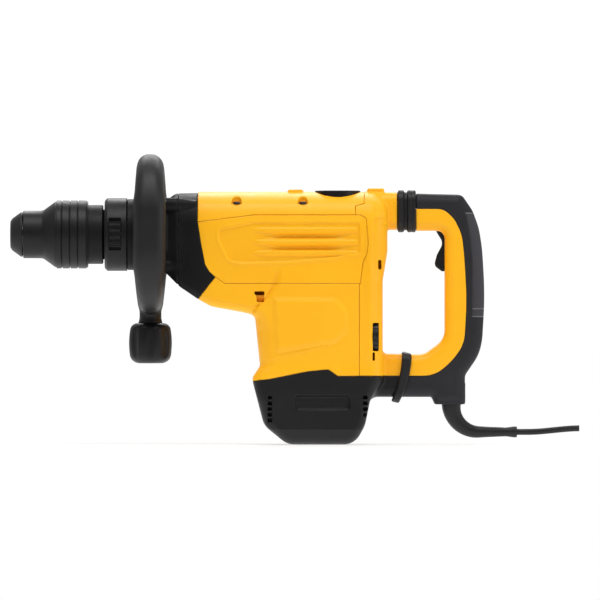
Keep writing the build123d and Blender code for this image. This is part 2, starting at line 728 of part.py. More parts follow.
def cord_path(start_z, end_x):
    """Centre line of the supply cable, from inside the handle out to the rear."""
    top = CORD_Z + CORD_BEND
    down = Line((CORD_X, 0, start_z), (CORD_X, 0, top))
    near, drop = CORD_BEND * (1 - cos(pi / 4)), CORD_BEND * sin(pi / 4)
    turn = ThreePointArc(down @ 1, (CORD_X + near, 0, top - drop), (CORD_X + CORD_BEND, 0, CORD_Z))
    return down, turn, Line(turn @ 1, (end_x, 0, CORD_Z))


def cord_guard():
    down, turn, straight = cord_path(-206, 626)
    thick = sweep(Plane(origin=down @ 0, z_dir=down % 0) * Circle(12), Wire([down]))
    bend = sweep(Plane(origin=turn @ 0, z_dir=turn % 0) * Circle(8.5), Wire([turn]))
    tail = sweep(Plane(origin=straight @ 0, z_dir=straight % 0) * Circle(6.7), Wire([straight]))
    hole = sweep(Plane(origin=down @ 0, z_dir=down % 0) * Circle(3.6), Wire([down, turn, straight]))
    return thick + bend + tail - hole


def supply_cable():
    down, turn, straight = cord_path(-196, 706)
    return sweep(Plane(origin=down @ 0, z_dir=down % 0) * Circle(3.5), Wire([down, turn, straight]))


def handle_bellows():
    """Pleated boot over the gap between the upper stub and the handle arm."""
    inner = arm_section(5.5, 52.8, 21, 3)
    body = Pos(NECK_END_X + 0.5, 0, 0) * extrude(arm_section(5.5, 52.8, 21, 0), 23)
    for start, end in ((478.2, 485.5), (489.8, 500.4)):
        body += Pos(start, 0, 0) * extrude(arm_section(3.2, 54.6, 23.5, 0), end - start)
    return body - Pos(470, 0, 0) * extrude(inner, 40)


def handle_seal_ring():
    """Soft ring around the slanted joint of the lower arm."""
    lean = degrees(atan2(split_x(-150) - split_x(-200), 50))
    plane = Plane(origin=(split_x(PIVOT_Z), 0, PIVOT_Z), x_dir=(0, 1, 0),
                  z_dir=(cos(radians(lean)), 0, -sin(radians(lean))))
    ring = RectangleRounded(2 * ARM_HALF + 9, 67, 8) - RectangleRounded(2 * ARM_HALF + 1, 59.4, 1)
    return extrude(plane * ring, 5, both=True)


def pivot_pin():
    return pin_y(PIVOT_X, PIVOT_Z, -16, 16, PIVOT_R)


def handle_spring():
    length = HANDLE_FRONT_X - 465.0 - 0.6
    return Pos(465.3, 0, 28.5) * Rot(0, 90, 0) * coil_spring(11, 3.0, length, 4)


# ---- side handle ----
def side_handle_loop():
    """Closed loop around the barrel, with a saddle on the clamp band."""
    rise = (LOOP_TOP - LOOP_BOTTOM) / 2
    centre = (LOOP_TOP + LOOP_BOTTOM) / 2
    mid = Plane.YZ * (Pos(0, centre) * RectangleRounded(
        2 * LOOP_SIDE - LOOP_DEPTH, 2 * rise - LOOP_DEPTH, 66))
    path = mid.face().outer_wire()
    start = path @ 0
    section = Plane(origin=start, x_dir=(1, 0, 0), z_dir=path % 0) * RectangleRounded(
        LOOP_WIDTH, LOOP_DEPTH, 12)
    loop = Pos(LOOP_X, 0, 0) * sweep(section, path, transition=Transition.RIGHT)
    saddle = post(LOOP_X, 0, -109, -50, 13.7)
    return loop + saddle - tube(140, 200, 50.2) - post(LOOP_X, 0, -120, -40, STUD_R + FIT)


def clamp_band():
    band = tube(LOOP_X - 15, LOOP_X + 15, 50, BARREL_R + 0.1)
    return band + post(LOOP_X, 0, KNOB_BOTTOM + 12, -BARREL_R - 2, STUD_R)


def clamp_knob():
    body = post(LOOP_X, 0, KNOB_BOTTOM, KNOB_TOP, KNOB_R)
    body = fillet(body.edges().filter_by(GeomType.CIRCLE), 7)
    for angle in range(0, 360, 45):
        body -= Pos(LOOP_X, 0, 0) * Rot(0, 0, angle) * post(KNOB_R + 5, 0, KNOB_BOTTOM - 1, KNOB_TOP + 1, 7)
    return body - post(LOOP_X, 0, KNOB_BOTTOM + 11, KNOB_TOP + 1, STUD_R + FIT)


SKIN = skin(0)
INNER = skin(WALL)

NODES = {
    "tool_holder": tool_holder(),
    "dust_cap": dust_cap(),
    "neck_ring": neck_ring(),
    "lock_spring": lock_spring(),
    "lock_sleeve": lock_sleeve(),
    "lock_ring": lock_ring(),
    "lock_ball_upper": lock_ball(1),
    "lock_ball_lower": lock_ball(-1),
    "index_collar": index_collar(),
    "front_barrel": front_barrel(),
    "barrel_bolts": barrel_bolts(),
    "holder_bush": holder_bush(),
    "impact_guide": impact_guide(),
    "beat_piece": beat_piece(),
    "cylinder": cylinder(),
    "ram": ram(),
    "piston": piston(),
    "piston_seal": piston_seal(),
    "piston_pin": piston_pin(),
    "conrod": conrod(),
    "crankshaft": crankshaft(),
    "crank_gear": crank_gear(),
    "crank_bearings": crank_bearings(),
    "crank_cap": crank_cap(),
    "gear_case": gear_case(),
    "gear_case_cover": gear_case_cover(),
    "armature_shaft": armature_shaft(),
    "armature_core": armature_core(),
    "commutator": commutator(),
    "cooling_fan": cooling_fan(),
    "field_stator": field_stator(),
    "motor_bearings": motor_bearings(),
    "brush_holders": brush_holders(),
    "carbon_brushes": carbon_brushes(),
    "top_cover": top_cover(),
    "side_cover_left": side_cover(-1),
    "side_cover_right": side_cover(1),
    "motor_housing": motor_housing(),
    "bottom_cap": bottom_cap(),
    "rear_housing_left": rear_housing(-1),
    "rear_housing_right": rear_housing(1),
    "housing_screws": housing_screws(),
    "control_module": control_module(),
    "speed_dial": speed_dial(),
    "side_handle_loop": side_handle_loop(),
    "clamp_band": clamp_band(),
    "clamp_knob": clamp_knob(),
    "handle_left": handle_half(-1),
    "handle_right": handle_half(1),
    "grip_overmould": grip_overmould(),
    "handle_screws": handle_screws(),
    "switch_body": switch_body(),
    "switch_plunger": switch_plunger(),
    "trigger": trigger(),
    "cord_guard": cord_guard(),
    "supply_cable": supply_cable(),
    "handle_bellows": handle_bellows(),
    "handle_seal_ring": handle_seal_ring(),
    "pivot_pin": pivot_pin(),
    "handle_spring": handle_spring(),
}

os.makedirs("parts", exist_ok=True)
for name, shape in NODES.items():
    export_step(shape, f"parts/{name}.step")
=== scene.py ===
import json
import math

import bpy
import numpy as np
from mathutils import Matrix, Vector

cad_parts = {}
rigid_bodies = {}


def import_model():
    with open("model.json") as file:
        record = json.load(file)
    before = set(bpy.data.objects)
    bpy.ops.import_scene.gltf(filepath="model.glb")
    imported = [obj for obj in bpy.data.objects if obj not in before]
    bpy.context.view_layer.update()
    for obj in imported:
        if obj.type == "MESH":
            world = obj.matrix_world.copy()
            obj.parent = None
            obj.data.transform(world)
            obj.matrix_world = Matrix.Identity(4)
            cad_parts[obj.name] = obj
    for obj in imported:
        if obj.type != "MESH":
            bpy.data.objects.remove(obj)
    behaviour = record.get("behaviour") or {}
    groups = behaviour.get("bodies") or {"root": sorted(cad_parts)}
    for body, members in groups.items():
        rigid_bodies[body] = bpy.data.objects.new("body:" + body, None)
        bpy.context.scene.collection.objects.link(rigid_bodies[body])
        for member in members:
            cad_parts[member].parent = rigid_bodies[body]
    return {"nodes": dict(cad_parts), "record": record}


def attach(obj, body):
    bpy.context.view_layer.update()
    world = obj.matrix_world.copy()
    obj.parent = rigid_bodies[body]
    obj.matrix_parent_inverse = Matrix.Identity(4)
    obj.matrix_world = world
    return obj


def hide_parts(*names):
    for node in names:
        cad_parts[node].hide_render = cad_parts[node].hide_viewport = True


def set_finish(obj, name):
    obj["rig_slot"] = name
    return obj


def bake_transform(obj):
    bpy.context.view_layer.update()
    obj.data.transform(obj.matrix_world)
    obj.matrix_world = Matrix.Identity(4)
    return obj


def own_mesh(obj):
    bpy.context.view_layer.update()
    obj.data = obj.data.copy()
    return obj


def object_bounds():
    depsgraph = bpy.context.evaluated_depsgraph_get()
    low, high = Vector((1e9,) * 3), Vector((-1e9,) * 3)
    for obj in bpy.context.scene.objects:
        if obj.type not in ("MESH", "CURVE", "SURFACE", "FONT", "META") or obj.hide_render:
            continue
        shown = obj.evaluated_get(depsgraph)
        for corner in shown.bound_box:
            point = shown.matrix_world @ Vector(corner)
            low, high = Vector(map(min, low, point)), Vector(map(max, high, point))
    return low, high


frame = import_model()
CAD_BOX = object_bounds()
MM = 0.001


# ---- implicit shapes: signed distance at x, y, z in millimetres, negative inside ----
def polygon(corners, u, v):
    """Signed distance in a plane to a closed outline of (u, v) corners."""
    u, v = np.broadcast_arrays(u, v)
    near = np.full(u.shape, 1e9)
    inside = np.zeros(u.shape, bool)
    last = corners[-1]
    for corner in corners:
        (ax, ay), (bx, by) = last, corner
        ex, ey = bx - ax, by - ay
        share = np.clip(((u - ax) * ex + (v - ay) * ey) / (ex * ex + ey * ey), 0, 1)
        near = np.minimum(near, (u - ax - share * ex) ** 2 + (v - ay - share * ey) ** 2)
        if ay != by:
            inside ^= ((ay > v) != (by > v)) & (u < ex * (v - ay) / ey + ax)
        last = corner
    return np.where(inside, -1, 1) * np.sqrt(near)


def arc_corners(corners, steps=6):
    """Replaces each (u, v, radius) corner by points on its fillet arc."""
    out = []
    count = len(corners)
    for i, corner in enumerate(corners):
        radius = corner[2] if len(corner) > 2 else 0
        p = np.array(corner[:2], float)
        if not radius:
            out.append(tuple(p))
            continue
        a = np.array(corners[i - 1][:2], float) - p
        b = np.array(corners[(i + 1) % count][:2], float) - p
        la, lb = np.linalg.norm(a), np.linalg.norm(b)
        a, b = a / la, b / lb
        half = math.acos(np.clip(a @ b, -1, 1)) / 2
        reach = min(radius / math.tan(half), la * 0.49, lb * 0.49)
        radius = reach * math.tan(half)
        centre = p + (a + b) / np.linalg.norm(a + b) * (radius / math.sin(half))
        start = np.arctan2(*(p + a * reach - centre)[::-1])
        sweep = np.arctan2(*(p + b * reach - centre)[::-1]) - start
        sweep = (sweep + math.pi) % (2 * math.pi) - math.pi
        for k in range(steps + 1):
            angle = start + sweep * k / steps
            out.append(tuple(centre + radius * np.array([math.cos(angle), math.sin(angle)])))
    return out


def outline(corners):
    """Shape of a closed outline of (u, v) or (u, v, fillet radius) corners."""
    points = arc_corners(corners)
    return lambda u, v: polygon(points, u, v)


def meet(a, b, radius):
    """Overlap of two shapes with the edge between them rounded."""
    a, b = a + radius, b + radius
    return np.minimum(np.maximum(a, b), 0) + np.hypot(np.maximum(a, 0), np.maximum(b, 0)) - radius


def join(a, b, radius):
    """Union of two shapes with a fillet between them."""
    return -meet(-a, -b, radius)


def cut(a, b, radius):
    """First shape less the second, with the edge rounded."""
    return meet(a, -b, radius)


def rounded_box(u, v, half_u, half_v, radius):
    """Rectangle about the origin of a plane, with rounded corners."""
    du, dv = abs(u) - half_u + radius, abs(v) - half_v + radius
    return np.hypot(np.maximum(du, 0), np.maximum(dv, 0)) + np.minimum(np.maximum(du, dv), 0) - radius


def ramp(value, start, end):
    """Smooth step from 0 at start to 1 at end."""
    t = np.clip((value - start) / (end - start), 0, 1)
    return t * t * (3 - 2 * t)


# ---- meshing ----
def surface_mesh(shape, low, high, step):
    """Points, quads and slopes of a shape's zero surface, by surface nets drawn onto it."""
    counts = [max(int(math.ceil((b - a) / step)) + 1, 3) for a, b in zip(low, high)]
    axes = [a + step * np.arange(n) for a, n in zip(low, counts)]
    x, y, z = np.meshgrid(*axes, indexing="ij", sparse=True)
    field = np.broadcast_to(shape(x, y, z), counts).astype(np.float32)
    inside = field < 0
    mixed = np.zeros([n - 1 for n in counts], np.int8)
    corner_list = [(i, j, k) for i in (0, 1) for j in (0, 1) for k in (0, 1)]
    cells = [slice(i, n - 1 + i) for n in counts for i in (0, 1)]
    for i, j, k in corner_list:
        mixed += inside[cells[i], cells[2 + j], cells[4 + k]]
    where = np.argwhere((mixed > 0) & (mixed < 8))
    number = np.full(mixed.shape, -1, np.int64)
    number[tuple(where.T)] = np.arange(len(where))
    total, hits = np.zeros((len(where), 3)), np.zeros(len(where))
    values = {c: field[where[:, 0] + c[0], where[:, 1] + c[1], where[:, 2] + c[2]] for c in corner_list}
    for a in corner_list:
        for axis in range(3):
            if a[axis]:
                continue
            b = tuple(1 if k == axis else a[k] for k in range(3))
            va, vb = values[a], values[b]
            crossing = (va < 0) != (vb < 0)
            share = np.where(crossing, va / np.where(crossing, va - vb, 1), 0)
            point = np.array(a, float)[None, :].repeat(len(where), 0)
            point[:, axis] += share
            total += point * crossing[:, None]
            hits += crossing
    points = (where + total / hits[:, None]) * step + np.array(low)
    quads = []
    for axis in range(3):
        u, v = [(1, 2), (2, 0), (0, 1)][axis]
        here = [slice(0, n) for n in counts]
        there = list(here)
        here[axis], there[axis] = slice(0, counts[axis] - 1), slice(1, counts[axis])
        starts, ends = inside[tuple(here)], inside[tuple(there)]
        edges = np.argwhere(starts != ends)
        across = edges[:, [u, v]]
        edges = edges[((across > 0) & (across < (counts[u] - 1, counts[v] - 1))).all(1)]
        ring = []
        for du, dv in ((-1, -1), (0, -1), (0, 0), (-1, 0)):
            cell = edges.copy()
            cell[:, u] += du
            cell[:, v] += dv
            ring.append(number[tuple(cell.T)])
        quad = np.stack(ring, 1)
        flip = ~starts[tuple(edges.T)]
        quad[flip] = quad[flip][:, ::-1]
        quads.append(quad)
    quads = np.vstack(quads)
    for _ in range(2):
        points, slope = draw_onto(shape, points, step)
    return points, quads, slope


def draw_onto(shape, points, step):
    """Each point a careful step nearer the surface, and the slope there."""
    small, least_square, longest, damping = 0.05, 0.2, 0.45 * step, 0.9
    x, y, z = points.T
    value = shape(x, y, z)
    slope = np.stack([
        shape(x + small, y, z) - value,
        shape(x, y + small, z) - value,
        shape(x, y, z + small) - value,
    ], 1) / small
    square = np.maximum((slope ** 2).sum(1), least_square)
    move = -slope * (value / square)[:, None]
    length = np.linalg.norm(move, axis=1)
    move *= np.minimum(1, longest / np.maximum(length, 1e-9))[:, None]
    return points + move * damping, slope


def link(name, data):
    """New object in the scene for a mesh, light or camera."""
    thing = bpy.data.objects.new(name, data)
    bpy.context.scene.collection.objects.link(thing)
    return thing


def closed_mesh(name, points, faces, body, replaces, slot, normals=None):
    """A Blender object in metres from millimetre points, riding on a body."""
    mesh = bpy.data.meshes.new(name)
    points = np.asarray(points, float) * MM
    faces = np.asarray(faces)
    mesh.vertices.add(len(points))
    mesh.vertices.foreach_set("co", points.astype(np.float32).ravel())
    mesh.loops.add(faces.size)
    mesh.loops.foreach_set("vertex_index", faces.ravel().astype(np.int32))
    mesh.polygons.add(len(faces))
    mesh.polygons.foreach_set("loop_start", np.arange(0, faces.size, faces.shape[1], dtype=np.int32))
    mesh.update(calc_edges=True)
    mesh.polygons.foreach_set("use_smooth", np.ones(len(mesh.polygons), bool))
    if normals is not None:
        lengths = np.maximum(np.linalg.norm(normals, axis=1), 1e-6)
        mesh.normals_split_custom_set_from_vertices((normals / lengths[:, None]).astype(np.float32))
    piece = link(name, mesh)
    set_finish(piece, slot)
    if body:
        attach(piece, body)
    if replaces:
        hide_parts(*replaces)
    return piece


def solid(name, shape, low, high, step, body, replaces, slot):
    """Piece meshed from a shape, on a grid from low to high with cells of one step."""
    points, quads, normals = surface_mesh(shape, low, high, step)
    return closed_mesh(name, points, quads, body, replaces, slot, normals)


def solid_pair(names, shape, low, high, step, body, slot):
    """A left piece and its mirror image; each replaces the CAD node of its own name."""
    points, quads, normals = surface_mesh(shape, low, high, step)
    left, right = names
    flip = np.array([1, -1, 1])
    closed_mesh(left + "_skin", points, quads, body, [left], slot, normals)
    closed_mesh(right + "_skin", points * flip, quads[:, ::-1], body, [right], slot, normals * flip)


def lathe(name, corners, body, replaces, slot, segments=144):
    """Closed profile of (x, radius, corner radius) turned about the chisel axis."""
    profile = arc_corners(corners, 5)
    turn = np.linspace(0, 2 * math.pi, segments, endpoint=False)
    x = np.repeat([p[0] for p in profile], segments)
    r = np.repeat([p[1] for p in profile], segments)
    angle = np.tile(turn, len(profile))
    points = np.stack([x, r * np.cos(angle), r * np.sin(angle)], 1)
    closed_mesh(name, points, grid_faces(len(profile), segments), body, replaces, slot)


def grid_faces(rows, columns, close_rows=True):
    """Quads of a grid of points whose columns, and by choice rows, run round."""
    i = np.arange(rows if close_rows else rows - 1)[:, None]
    j = np.arange(columns)[None, :]
    row, next_row = i * columns, (i + 1) % rows * columns
    after = (j + 1) % columns
    return np.stack([row + j, row + after, next_row + after, next_row + j], -1).reshape(-1, 4)


# ---- driving sizes of the housing, in millimetres ----
TOP_Z, CROWN_R = 53.4, 68.0
NOSE_HALF, CASE_HALF, BODY_HALF, COLUMN_HALF, CAP_HALF = 43.0, 47.0, 52.0, 55.0, 57.0
NECK_X, NECK_Z, NECK_HALF_Y, NECK_HALF_Z = 458.0, 29.1, 21.0, 23.4
ARM_Z, ARM_HALF, ARM_HALF_Z = -176.0, 20.0, 27.0
SPLIT_LOW, SPLIT_HIGH, SPLIT_BOW = (475.9, -204.4), (489.6, -146.6), 3.6
SPLIT_LEAN = math.atan2(SPLIT_HIGH[0] - SPLIT_LOW[0], SPLIT_HIGH[1] - SPLIT_LOW[1])
JOINT_X, JOINT_Z = 482.0, -178.6
CORD_X, CORD_Z, CORD_BEND, CORD_END_X = 545.0, -246.8, 34.0, 706.0
WALL = 3.5
SEAM, SEAM_EDGE = 0.15, 0.7
LIP_DEPTH, LIP_HALF, LIP_REACH = 0.75, 0.8, 2.6
UPPER_SEAM_Z, MOTOR_SEAM_Z, CAP_SEAM_Z, BASE_Z = 23.75, -61.25, -176.6, -262.0
CRANK_X, CRANK_CAP_R = 403.0, 28.5
PANEL_SINK, PANEL_RIM, RIB_RISE, FLUTE_SINK = 1.5, 0.5, 1.9, 4.0
BADGE_RISE, CREASE_SINK, RIDGE_RISE, CAP_FLARE = 3.4, 1.5, 0.8, 1.6
REAR_RIDGE_RISE, REAR_POCKET_SINK = 1.5, 1.5
REAR_POCKETS = ((33.1, 7.4), (16.2, 4.3))       # centre z and half-height

body_side = outline([
    (187, 90), (187, -46.5), (206, -65.5, 40), (229, -81, 20), (245, -90, 25), (286, -97.6, 15),
    (299.5, -101, 9), (306, -164, 5), (297.2, -177.5, 2), (296.5, -182), (311, -238, 24),
    (340, BASE_Z, 24), (424, BASE_Z, 26),
    (437, -238, 40), (443, -208, 10), (459, -182, 4), (459, -58, 40), (465, -22, 40), (465, 90),
])
grip_panel = outline([
    (254.6, -8, 10), (254.6, 6, 5), (297.8, 14.4, 10), (430, 14.4, 3), (431, -24, 6), (399, -28.7, 6),
    (343, -34.5, 20), (282, -36, 12), (268, -34, 12),
])
badge_panel = outline([
    (320.5, -77, 2), (401, -77, 14), (417.5, -95, 14), (417.5, -120, 20), (403, -136.5, 16), (324, -149.5, 5),
])
cap_recess = outline([(349.6, -201, 5), (418, -201, 5), (418, -218, 5), (349.6, -218, 5)])
RIBS_Z = (5.0, -10.0, -23.8)
FLUTES_Z = (-2.5, -16.9)


def crease_x(z):
    """Where the motor column starts to stand proud of the chin."""
    return np.interp(-z, [44, 62, 79, 88, 100, 120], [332, 328, 318, 308, 296, 285])


def panel_relief(x, z):
    """Sunk hand panel of the side cover, with its rim, ribs and flutes."""
    panel = grip_panel(x, z)
    inside = ramp(-panel, -0.6, 2.0)
    along = ramp(x, 292, 314) * (1 - ramp(x, 422, 430))
    relief = -PANEL_SINK * ramp(-panel, -0.4, 1.6) + PANEL_RIM * ramp(2.6 - abs(panel - 1.8), 0, 2)
    for centre in RIBS_Z:
        relief = relief + RIB_RISE * along * inside * ramp(3.9 - abs(z - centre), 0, 2.4)
    deep = ramp(x, 304, 340) * (1 - ramp(x, 384, 424))
    for centre in FLUTES_Z:
        relief = relief - FLUTE_SINK * deep * ramp(4.2 - abs(z - centre), 0, 3.4)
    return relief


def column_relief(x, z):
    """Raised badge panel of the motor housing, the crease at its front and the ridge below it."""
    relief = BADGE_RISE * np.clip((-badge_panel(x, z) - 0.4) / 6.4, 0, 1)
    groove = ramp(3.2 - abs(x - crease_x(z) + 3.5), 0, 3.2) * ramp(-z, 40, 60) * (1 - ramp(-z, 90, 108))
    ridge = abs(z + 156 - 0.235 * (x - 316)) + 2 * ramp(abs(x - 352), 26, 44)
    return relief - CREASE_SINK * groove + RIDGE_RISE * ramp(2.4 - ridge, 0, 2.2)


def rear_relief(x, z):
    """Upright ridge of the rear housing and the two shallow pockets at its neck."""
    relief = REAR_RIDGE_RISE * (ramp(x, 433, 443) - ramp(x, 443, 449)) * ramp(z + 168, 0, 20)
    for centre, half_z in REAR_POCKETS:
        inside = -rounded_box(x - 456, z - centre, 7.4, half_z, 1.5)
        relief = relief - REAR_POCKET_SINK * ramp(inside, -0.3, 0.9)
    return relief


def half_width(x, z):
    """Half-width of the housing's flank, with its relief."""
    width = NOSE_HALF + (CASE_HALF - NOSE_HALF) * ramp(x, 187, 206)
    width = width + (BODY_HALF - CASE_HALF) * ramp(x, 206, 240)
    width = width + (COLUMN_HALF - BODY_HALF) * ramp(-z, 36, 62) * ramp(x - crease_x(z), -3, 4)
    width = width + CAP_FLARE * ramp(-z, 158, 176)
    return width + panel_relief(x, z) + column_relief(x, z) + rear_relief(x, z)


def cap_half_width(x, z):
    """Half-width of the bottom cap: drawn in near the base and at its lower front, sunk at the recess."""
    draft_from_z, draft, recess_sink = -243, 0.62, 3.6
    width = CAP_HALF - draft * np.maximum(draft_from_z - z, 0)
    width = width - recess_sink * ramp(-cap_recess(x, z), -1.6, 2.4)
    front = np.maximum(322 + 0.25 * (z + 200) - x, 0) * ramp(-z, 205, 235)
    return width - 0.5 * front


def edge_radius(x, z):
    """Rounding of the housing's long edges, at the front and at the rear of the column."""
    front = np.interp(z, [-270, -200, -181, -171, -163, -120, -100, -90, -60, -40],
                      [10, 10, 14, 16, 24, 24, 16, 12, 8, 3])
    rear = np.interp(z, [-270, -200, -185, -175, -60, -30, 60], [10, 10, 13, 17, 18, 22, 22])
    share = ramp(x, 340, 400)
    return front * (1 - share) + rear * share


def housing(x, y, z):
    """Whole body of the tool behind the barrel, as if it were one solid."""
    top = np.interp(x, [187, 190, 200, 203, 227, 229.5, 231], [41.5, 44, 50.6, 51.4, 51.9, 53.2, TOP_Z])
    crown = np.hypot(y, np.maximum(z - top + CROWN_R, 0)) - CROWN_R
    tall = meet(crown, abs(y) - half_width(x, z), 14)
    shape = meet(body_side(x, z), tall, edge_radius(x, z))
    neck = np.maximum(rounded_box(y, z - NECK_Z, NECK_HALF_Y, NECK_HALF_Z, 12), abs(x - NECK_X) - 19)
    return join(join(shape, neck, 3), arm_stub(x, y, z), 6)


def foot(x, y, z):
    """The body as it is below the cap's seam."""
    shape = meet(body_side(x, z), abs(y) - cap_half_width(x, z), edge_radius(x, z))
    return join(shape, arm_stub(x, y, z), 6)


def arm_stub(x, y, z):
    """Part of the lower arm in front of its joint face."""
    section = rounded_box(y, z - ARM_Z, ARM_HALF, ARM_HALF_Z, 11)
    return meet(section, np.maximum(x - split_x(z) + 1, 430 - x), 1)


def split_x(z):
    """Joint face of the lower arm: slanted, and bowed to the rear at its middle."""
    return SPLIT_LOW[0] + (z - SPLIT_LOW[1]) * math.tan(SPLIT_LEAN) + joint_bow(z)


def joint_bow(z):
    return SPLIT_BOW * np.maximum(1 - ((z - JOINT_Z) / 30) ** 2, 0)


def shell(whole, wall):
    """Wall of even thickness just inside a solid's surface."""
    return np.maximum(whole, -(whole + wall))


def cover(whole, zone, lip=False):
    """Shell of a cover inside its zone; a lip inside the wall closes the seam from behind."""
    value = meet(shell(whole, WALL), zone, SEAM_EDGE)
    if lip:
        layer = abs(whole + WALL + LIP_DEPTH) - LIP_HALF
        value = np.minimum(value, np.maximum(layer, abs(zone + LIP_HALF) - LIP_REACH))
    return value


# seams between the covers, as (x, z) points
CASE_SEAM = [(228.4, 90), (228.4, 15.2), (232.3, -10), (237.6, -37.5), (243, -46.8), (250.3, -53.2)]
CHIN_SEAM = [(250.3, -53.2), (229.6, -79.8), (222, -90)]
UPPER_SEAM = [(228.4, 15.2), (297, UPPER_SEAM_Z), (432, UPPER_SEAM_Z)]
REAR_SEAM = [(432, UPPER_SEAM_Z), (438.4, 19.4), (440.9, -11), (439, -25.6), (434.6, -34.4), (431.5, -56)]
CAP_SEAM = [
    (280, -184.6), (317.5, -180.6), (365, -171), (391, -168.5), (402.8, CAP_SEAM_Z), (520, CAP_SEAM_Z),
]


def region(corners):
    """Area of a cover in side view, half a seam short of its neighbours."""
    inside = outline(corners)
    return lambda x, z: inside(x, z) + SEAM


def pocket(x, y, z, cx, cy, radius, low, high):
    """Upright round pocket on both flanks."""
    inward = np.minimum(abs(y) - cy, 0) / 2 + np.maximum(abs(y) - cy, 0)
    return np.maximum(np.hypot(x - cx, inward) - radius, np.maximum(low - z, z - high))


def slot_box(x, y, z, cx, cz, half_x, half_z, depth_y):
    """Upright slot in both flanks, from outside in to depth_y."""
    return np.maximum(rounded_box(x - cx, z - cz, half_x, half_z, min(half_x, 1.5)), depth_y - abs(y))


TOP_SCREW_X, TOP_SCREW_Y, TOP_SCREW_FLOOR = (277.0, 359.5), 40.0, 37.6
CHIN_SCREW = (305.0, 36.0, -82.0)
BOLT_PLACES = ((38, 37), (38, -39))             # y to each side, and z
# slots in the flanks: centre x and z, their half-lengths, and how far in they reach in y
CHIN_SLOT = (305.4, -73.4, 6.1, 2.2, 22)
NECK_SLOT = (455, -38, 1.8, 5.9, 26)
DIAL_SLOT = (450, -128, 3.6, 17.6, 20)
LOW_SLOT = (447.6, -152.4, 1.4, 5.2, 30)
# columns of vents in the bottom cap: x, z of the highest, pitch, number, and how far in they reach in y
VENT_COLUMNS = ((318.4, -203.6, 7.0, 5, 43), (436.8, -203.0, 7.2, 4, 40))

TOP_END = [(425.2, UPPER_SEAM_Z), (425.2, 35), (436, 38.5), (436, 120)]
top_zone = region([(228.4, 120)] + UPPER_SEAM[:2] + TOP_END)


def top_cover(x, y, z):
    shape = housing(x, y, z)
    pad = rounded_box(x - 350.3, y, 9.3, 13, 3)
    pad = meet(pad, np.maximum(z - 56.2, 45 - z), 2.0)
    shape = join(shape, pad, 2.0)
    for cx in TOP_SCREW_X:
        mouth = np.maximum(abs(x - cx) - 6, np.maximum(TOP_SCREW_Y - abs(y), abs(z - 42.6) - 5))
        hole = np.minimum(pocket(x, y, z, cx, TOP_SCREW_Y, 6, TOP_SCREW_FLOOR, 80), mouth)
        shape = cut(shape, hole, 0.5)
    shape = cover(shape, top_zone(x, z), True)
    hole = np.hypot(x - CRANK_X, y) - CRANK_CAP_R - 0.4
    return cut(shape, np.maximum(hole, 30 - z), 0.8)


SIDE_END, MOTOR_TOP = (431.5, MOTOR_SEAM_Z), (262, MOTOR_SEAM_Z)
MOTOR_END = [(429.7, MOTOR_SEAM_Z), (429.7, CAP_SEAM_Z)]
side_zone = region(UPPER_SEAM + REAR_SEAM[1:] + [SIDE_END, MOTOR_TOP] + CASE_SEAM[:1:-1])
motor_zone = region(CHIN_SEAM[::-1] + [MOTOR_TOP] + MOTOR_END + CAP_SEAM[4::-1] + [(280, -120)])
cap_zone = region(CAP_SEAM + [(520, -300), (280, -300)])
rear_zone = region(TOP_END[::-1] + REAR_SEAM + [SIDE_END] + MOTOR_END + [(520, CAP_SEAM_Z), (520, 120)])
case_zone = region([(204, 120)] + CASE_SEAM + CHIN_SEAM[1:] + [(204, -95)])


def side_cover(side):
    """Shape of the side cover; side is -1 on the left and 1 on the right."""
    def shape(x, y, z):
        value = cover(housing(x, y, z), side_zone(x, z))
        return np.maximum(value, 20 - side * y)
    return shape


def motor_housing(x, y, z):
    shape = housing(x, y, z)
    shape = cut(shape, slot_box(x, y, z, *CHIN_SLOT), 0.4)
    ledge = np.maximum(rounded_box(x - 306.5, z + 79.5, 4.6, 5, 1.5), 46 - abs(y) + 0.4 * (z + 75))
    shape = cut(shape, ledge, 0.8)
    return cover(shape, motor_zone(x, z), True)


def rear_housing(side):
    """Shape of one rear housing half; the thumbwheel's slot is on the left alone."""
    def shape(x, y, z):
        whole = housing(x, y, z)
        pad = meet(rounded_box(x - 450.5, y, 10.6, 13, 3), np.maximum(z - 57.7, 45 - z), 2.4)
        whole = join(whole, pad, 2.0)
        for slot in (NECK_SLOT, LOW_SLOT):
            whole = cut(whole, slot_box(x, y, z, *slot), 0.4)
        value = cover(whole, rear_zone(x, z), True)
        if side < 0:
            value = cut(value, np.maximum(slot_box(x, y, z, *DIAL_SLOT), y), 0.4)
        return np.maximum(value, 0.08 - side * y)
    return shape


def bottom_cap(x, y, z):
    whole = foot(x, y, z)
    for cx, top, pitch, count, depth_y in VENT_COLUMNS:
        for k in range(count):
            vent = rounded_box(x - cx, z - (top - pitch * k), 2.6, 2.3, 1.0)
            whole = cut(whole, np.maximum(vent, depth_y - abs(y)), 0.4)
    return cover(whole, cap_zone(x, z))


def gear_case(x, y, z):
    face_x, bore_r = 204, 36.5
    value = meet(shell(housing(x, y, z), 9), case_zone(x, z), SEAM_EDGE)
    for by, bz in BOLT_PLACES:
        rib = rounded_box(abs(y) - by, z - bz, 8.5, 8.5, 8) + np.maximum(x - face_x, 0) * 0.18
        rib = np.maximum(rib, np.maximum(face_x + SEAM - x, x - 226))
        value = join(value, rib, 2.5)
    return np.maximum(value, bore_r - np.hypot(y, z))


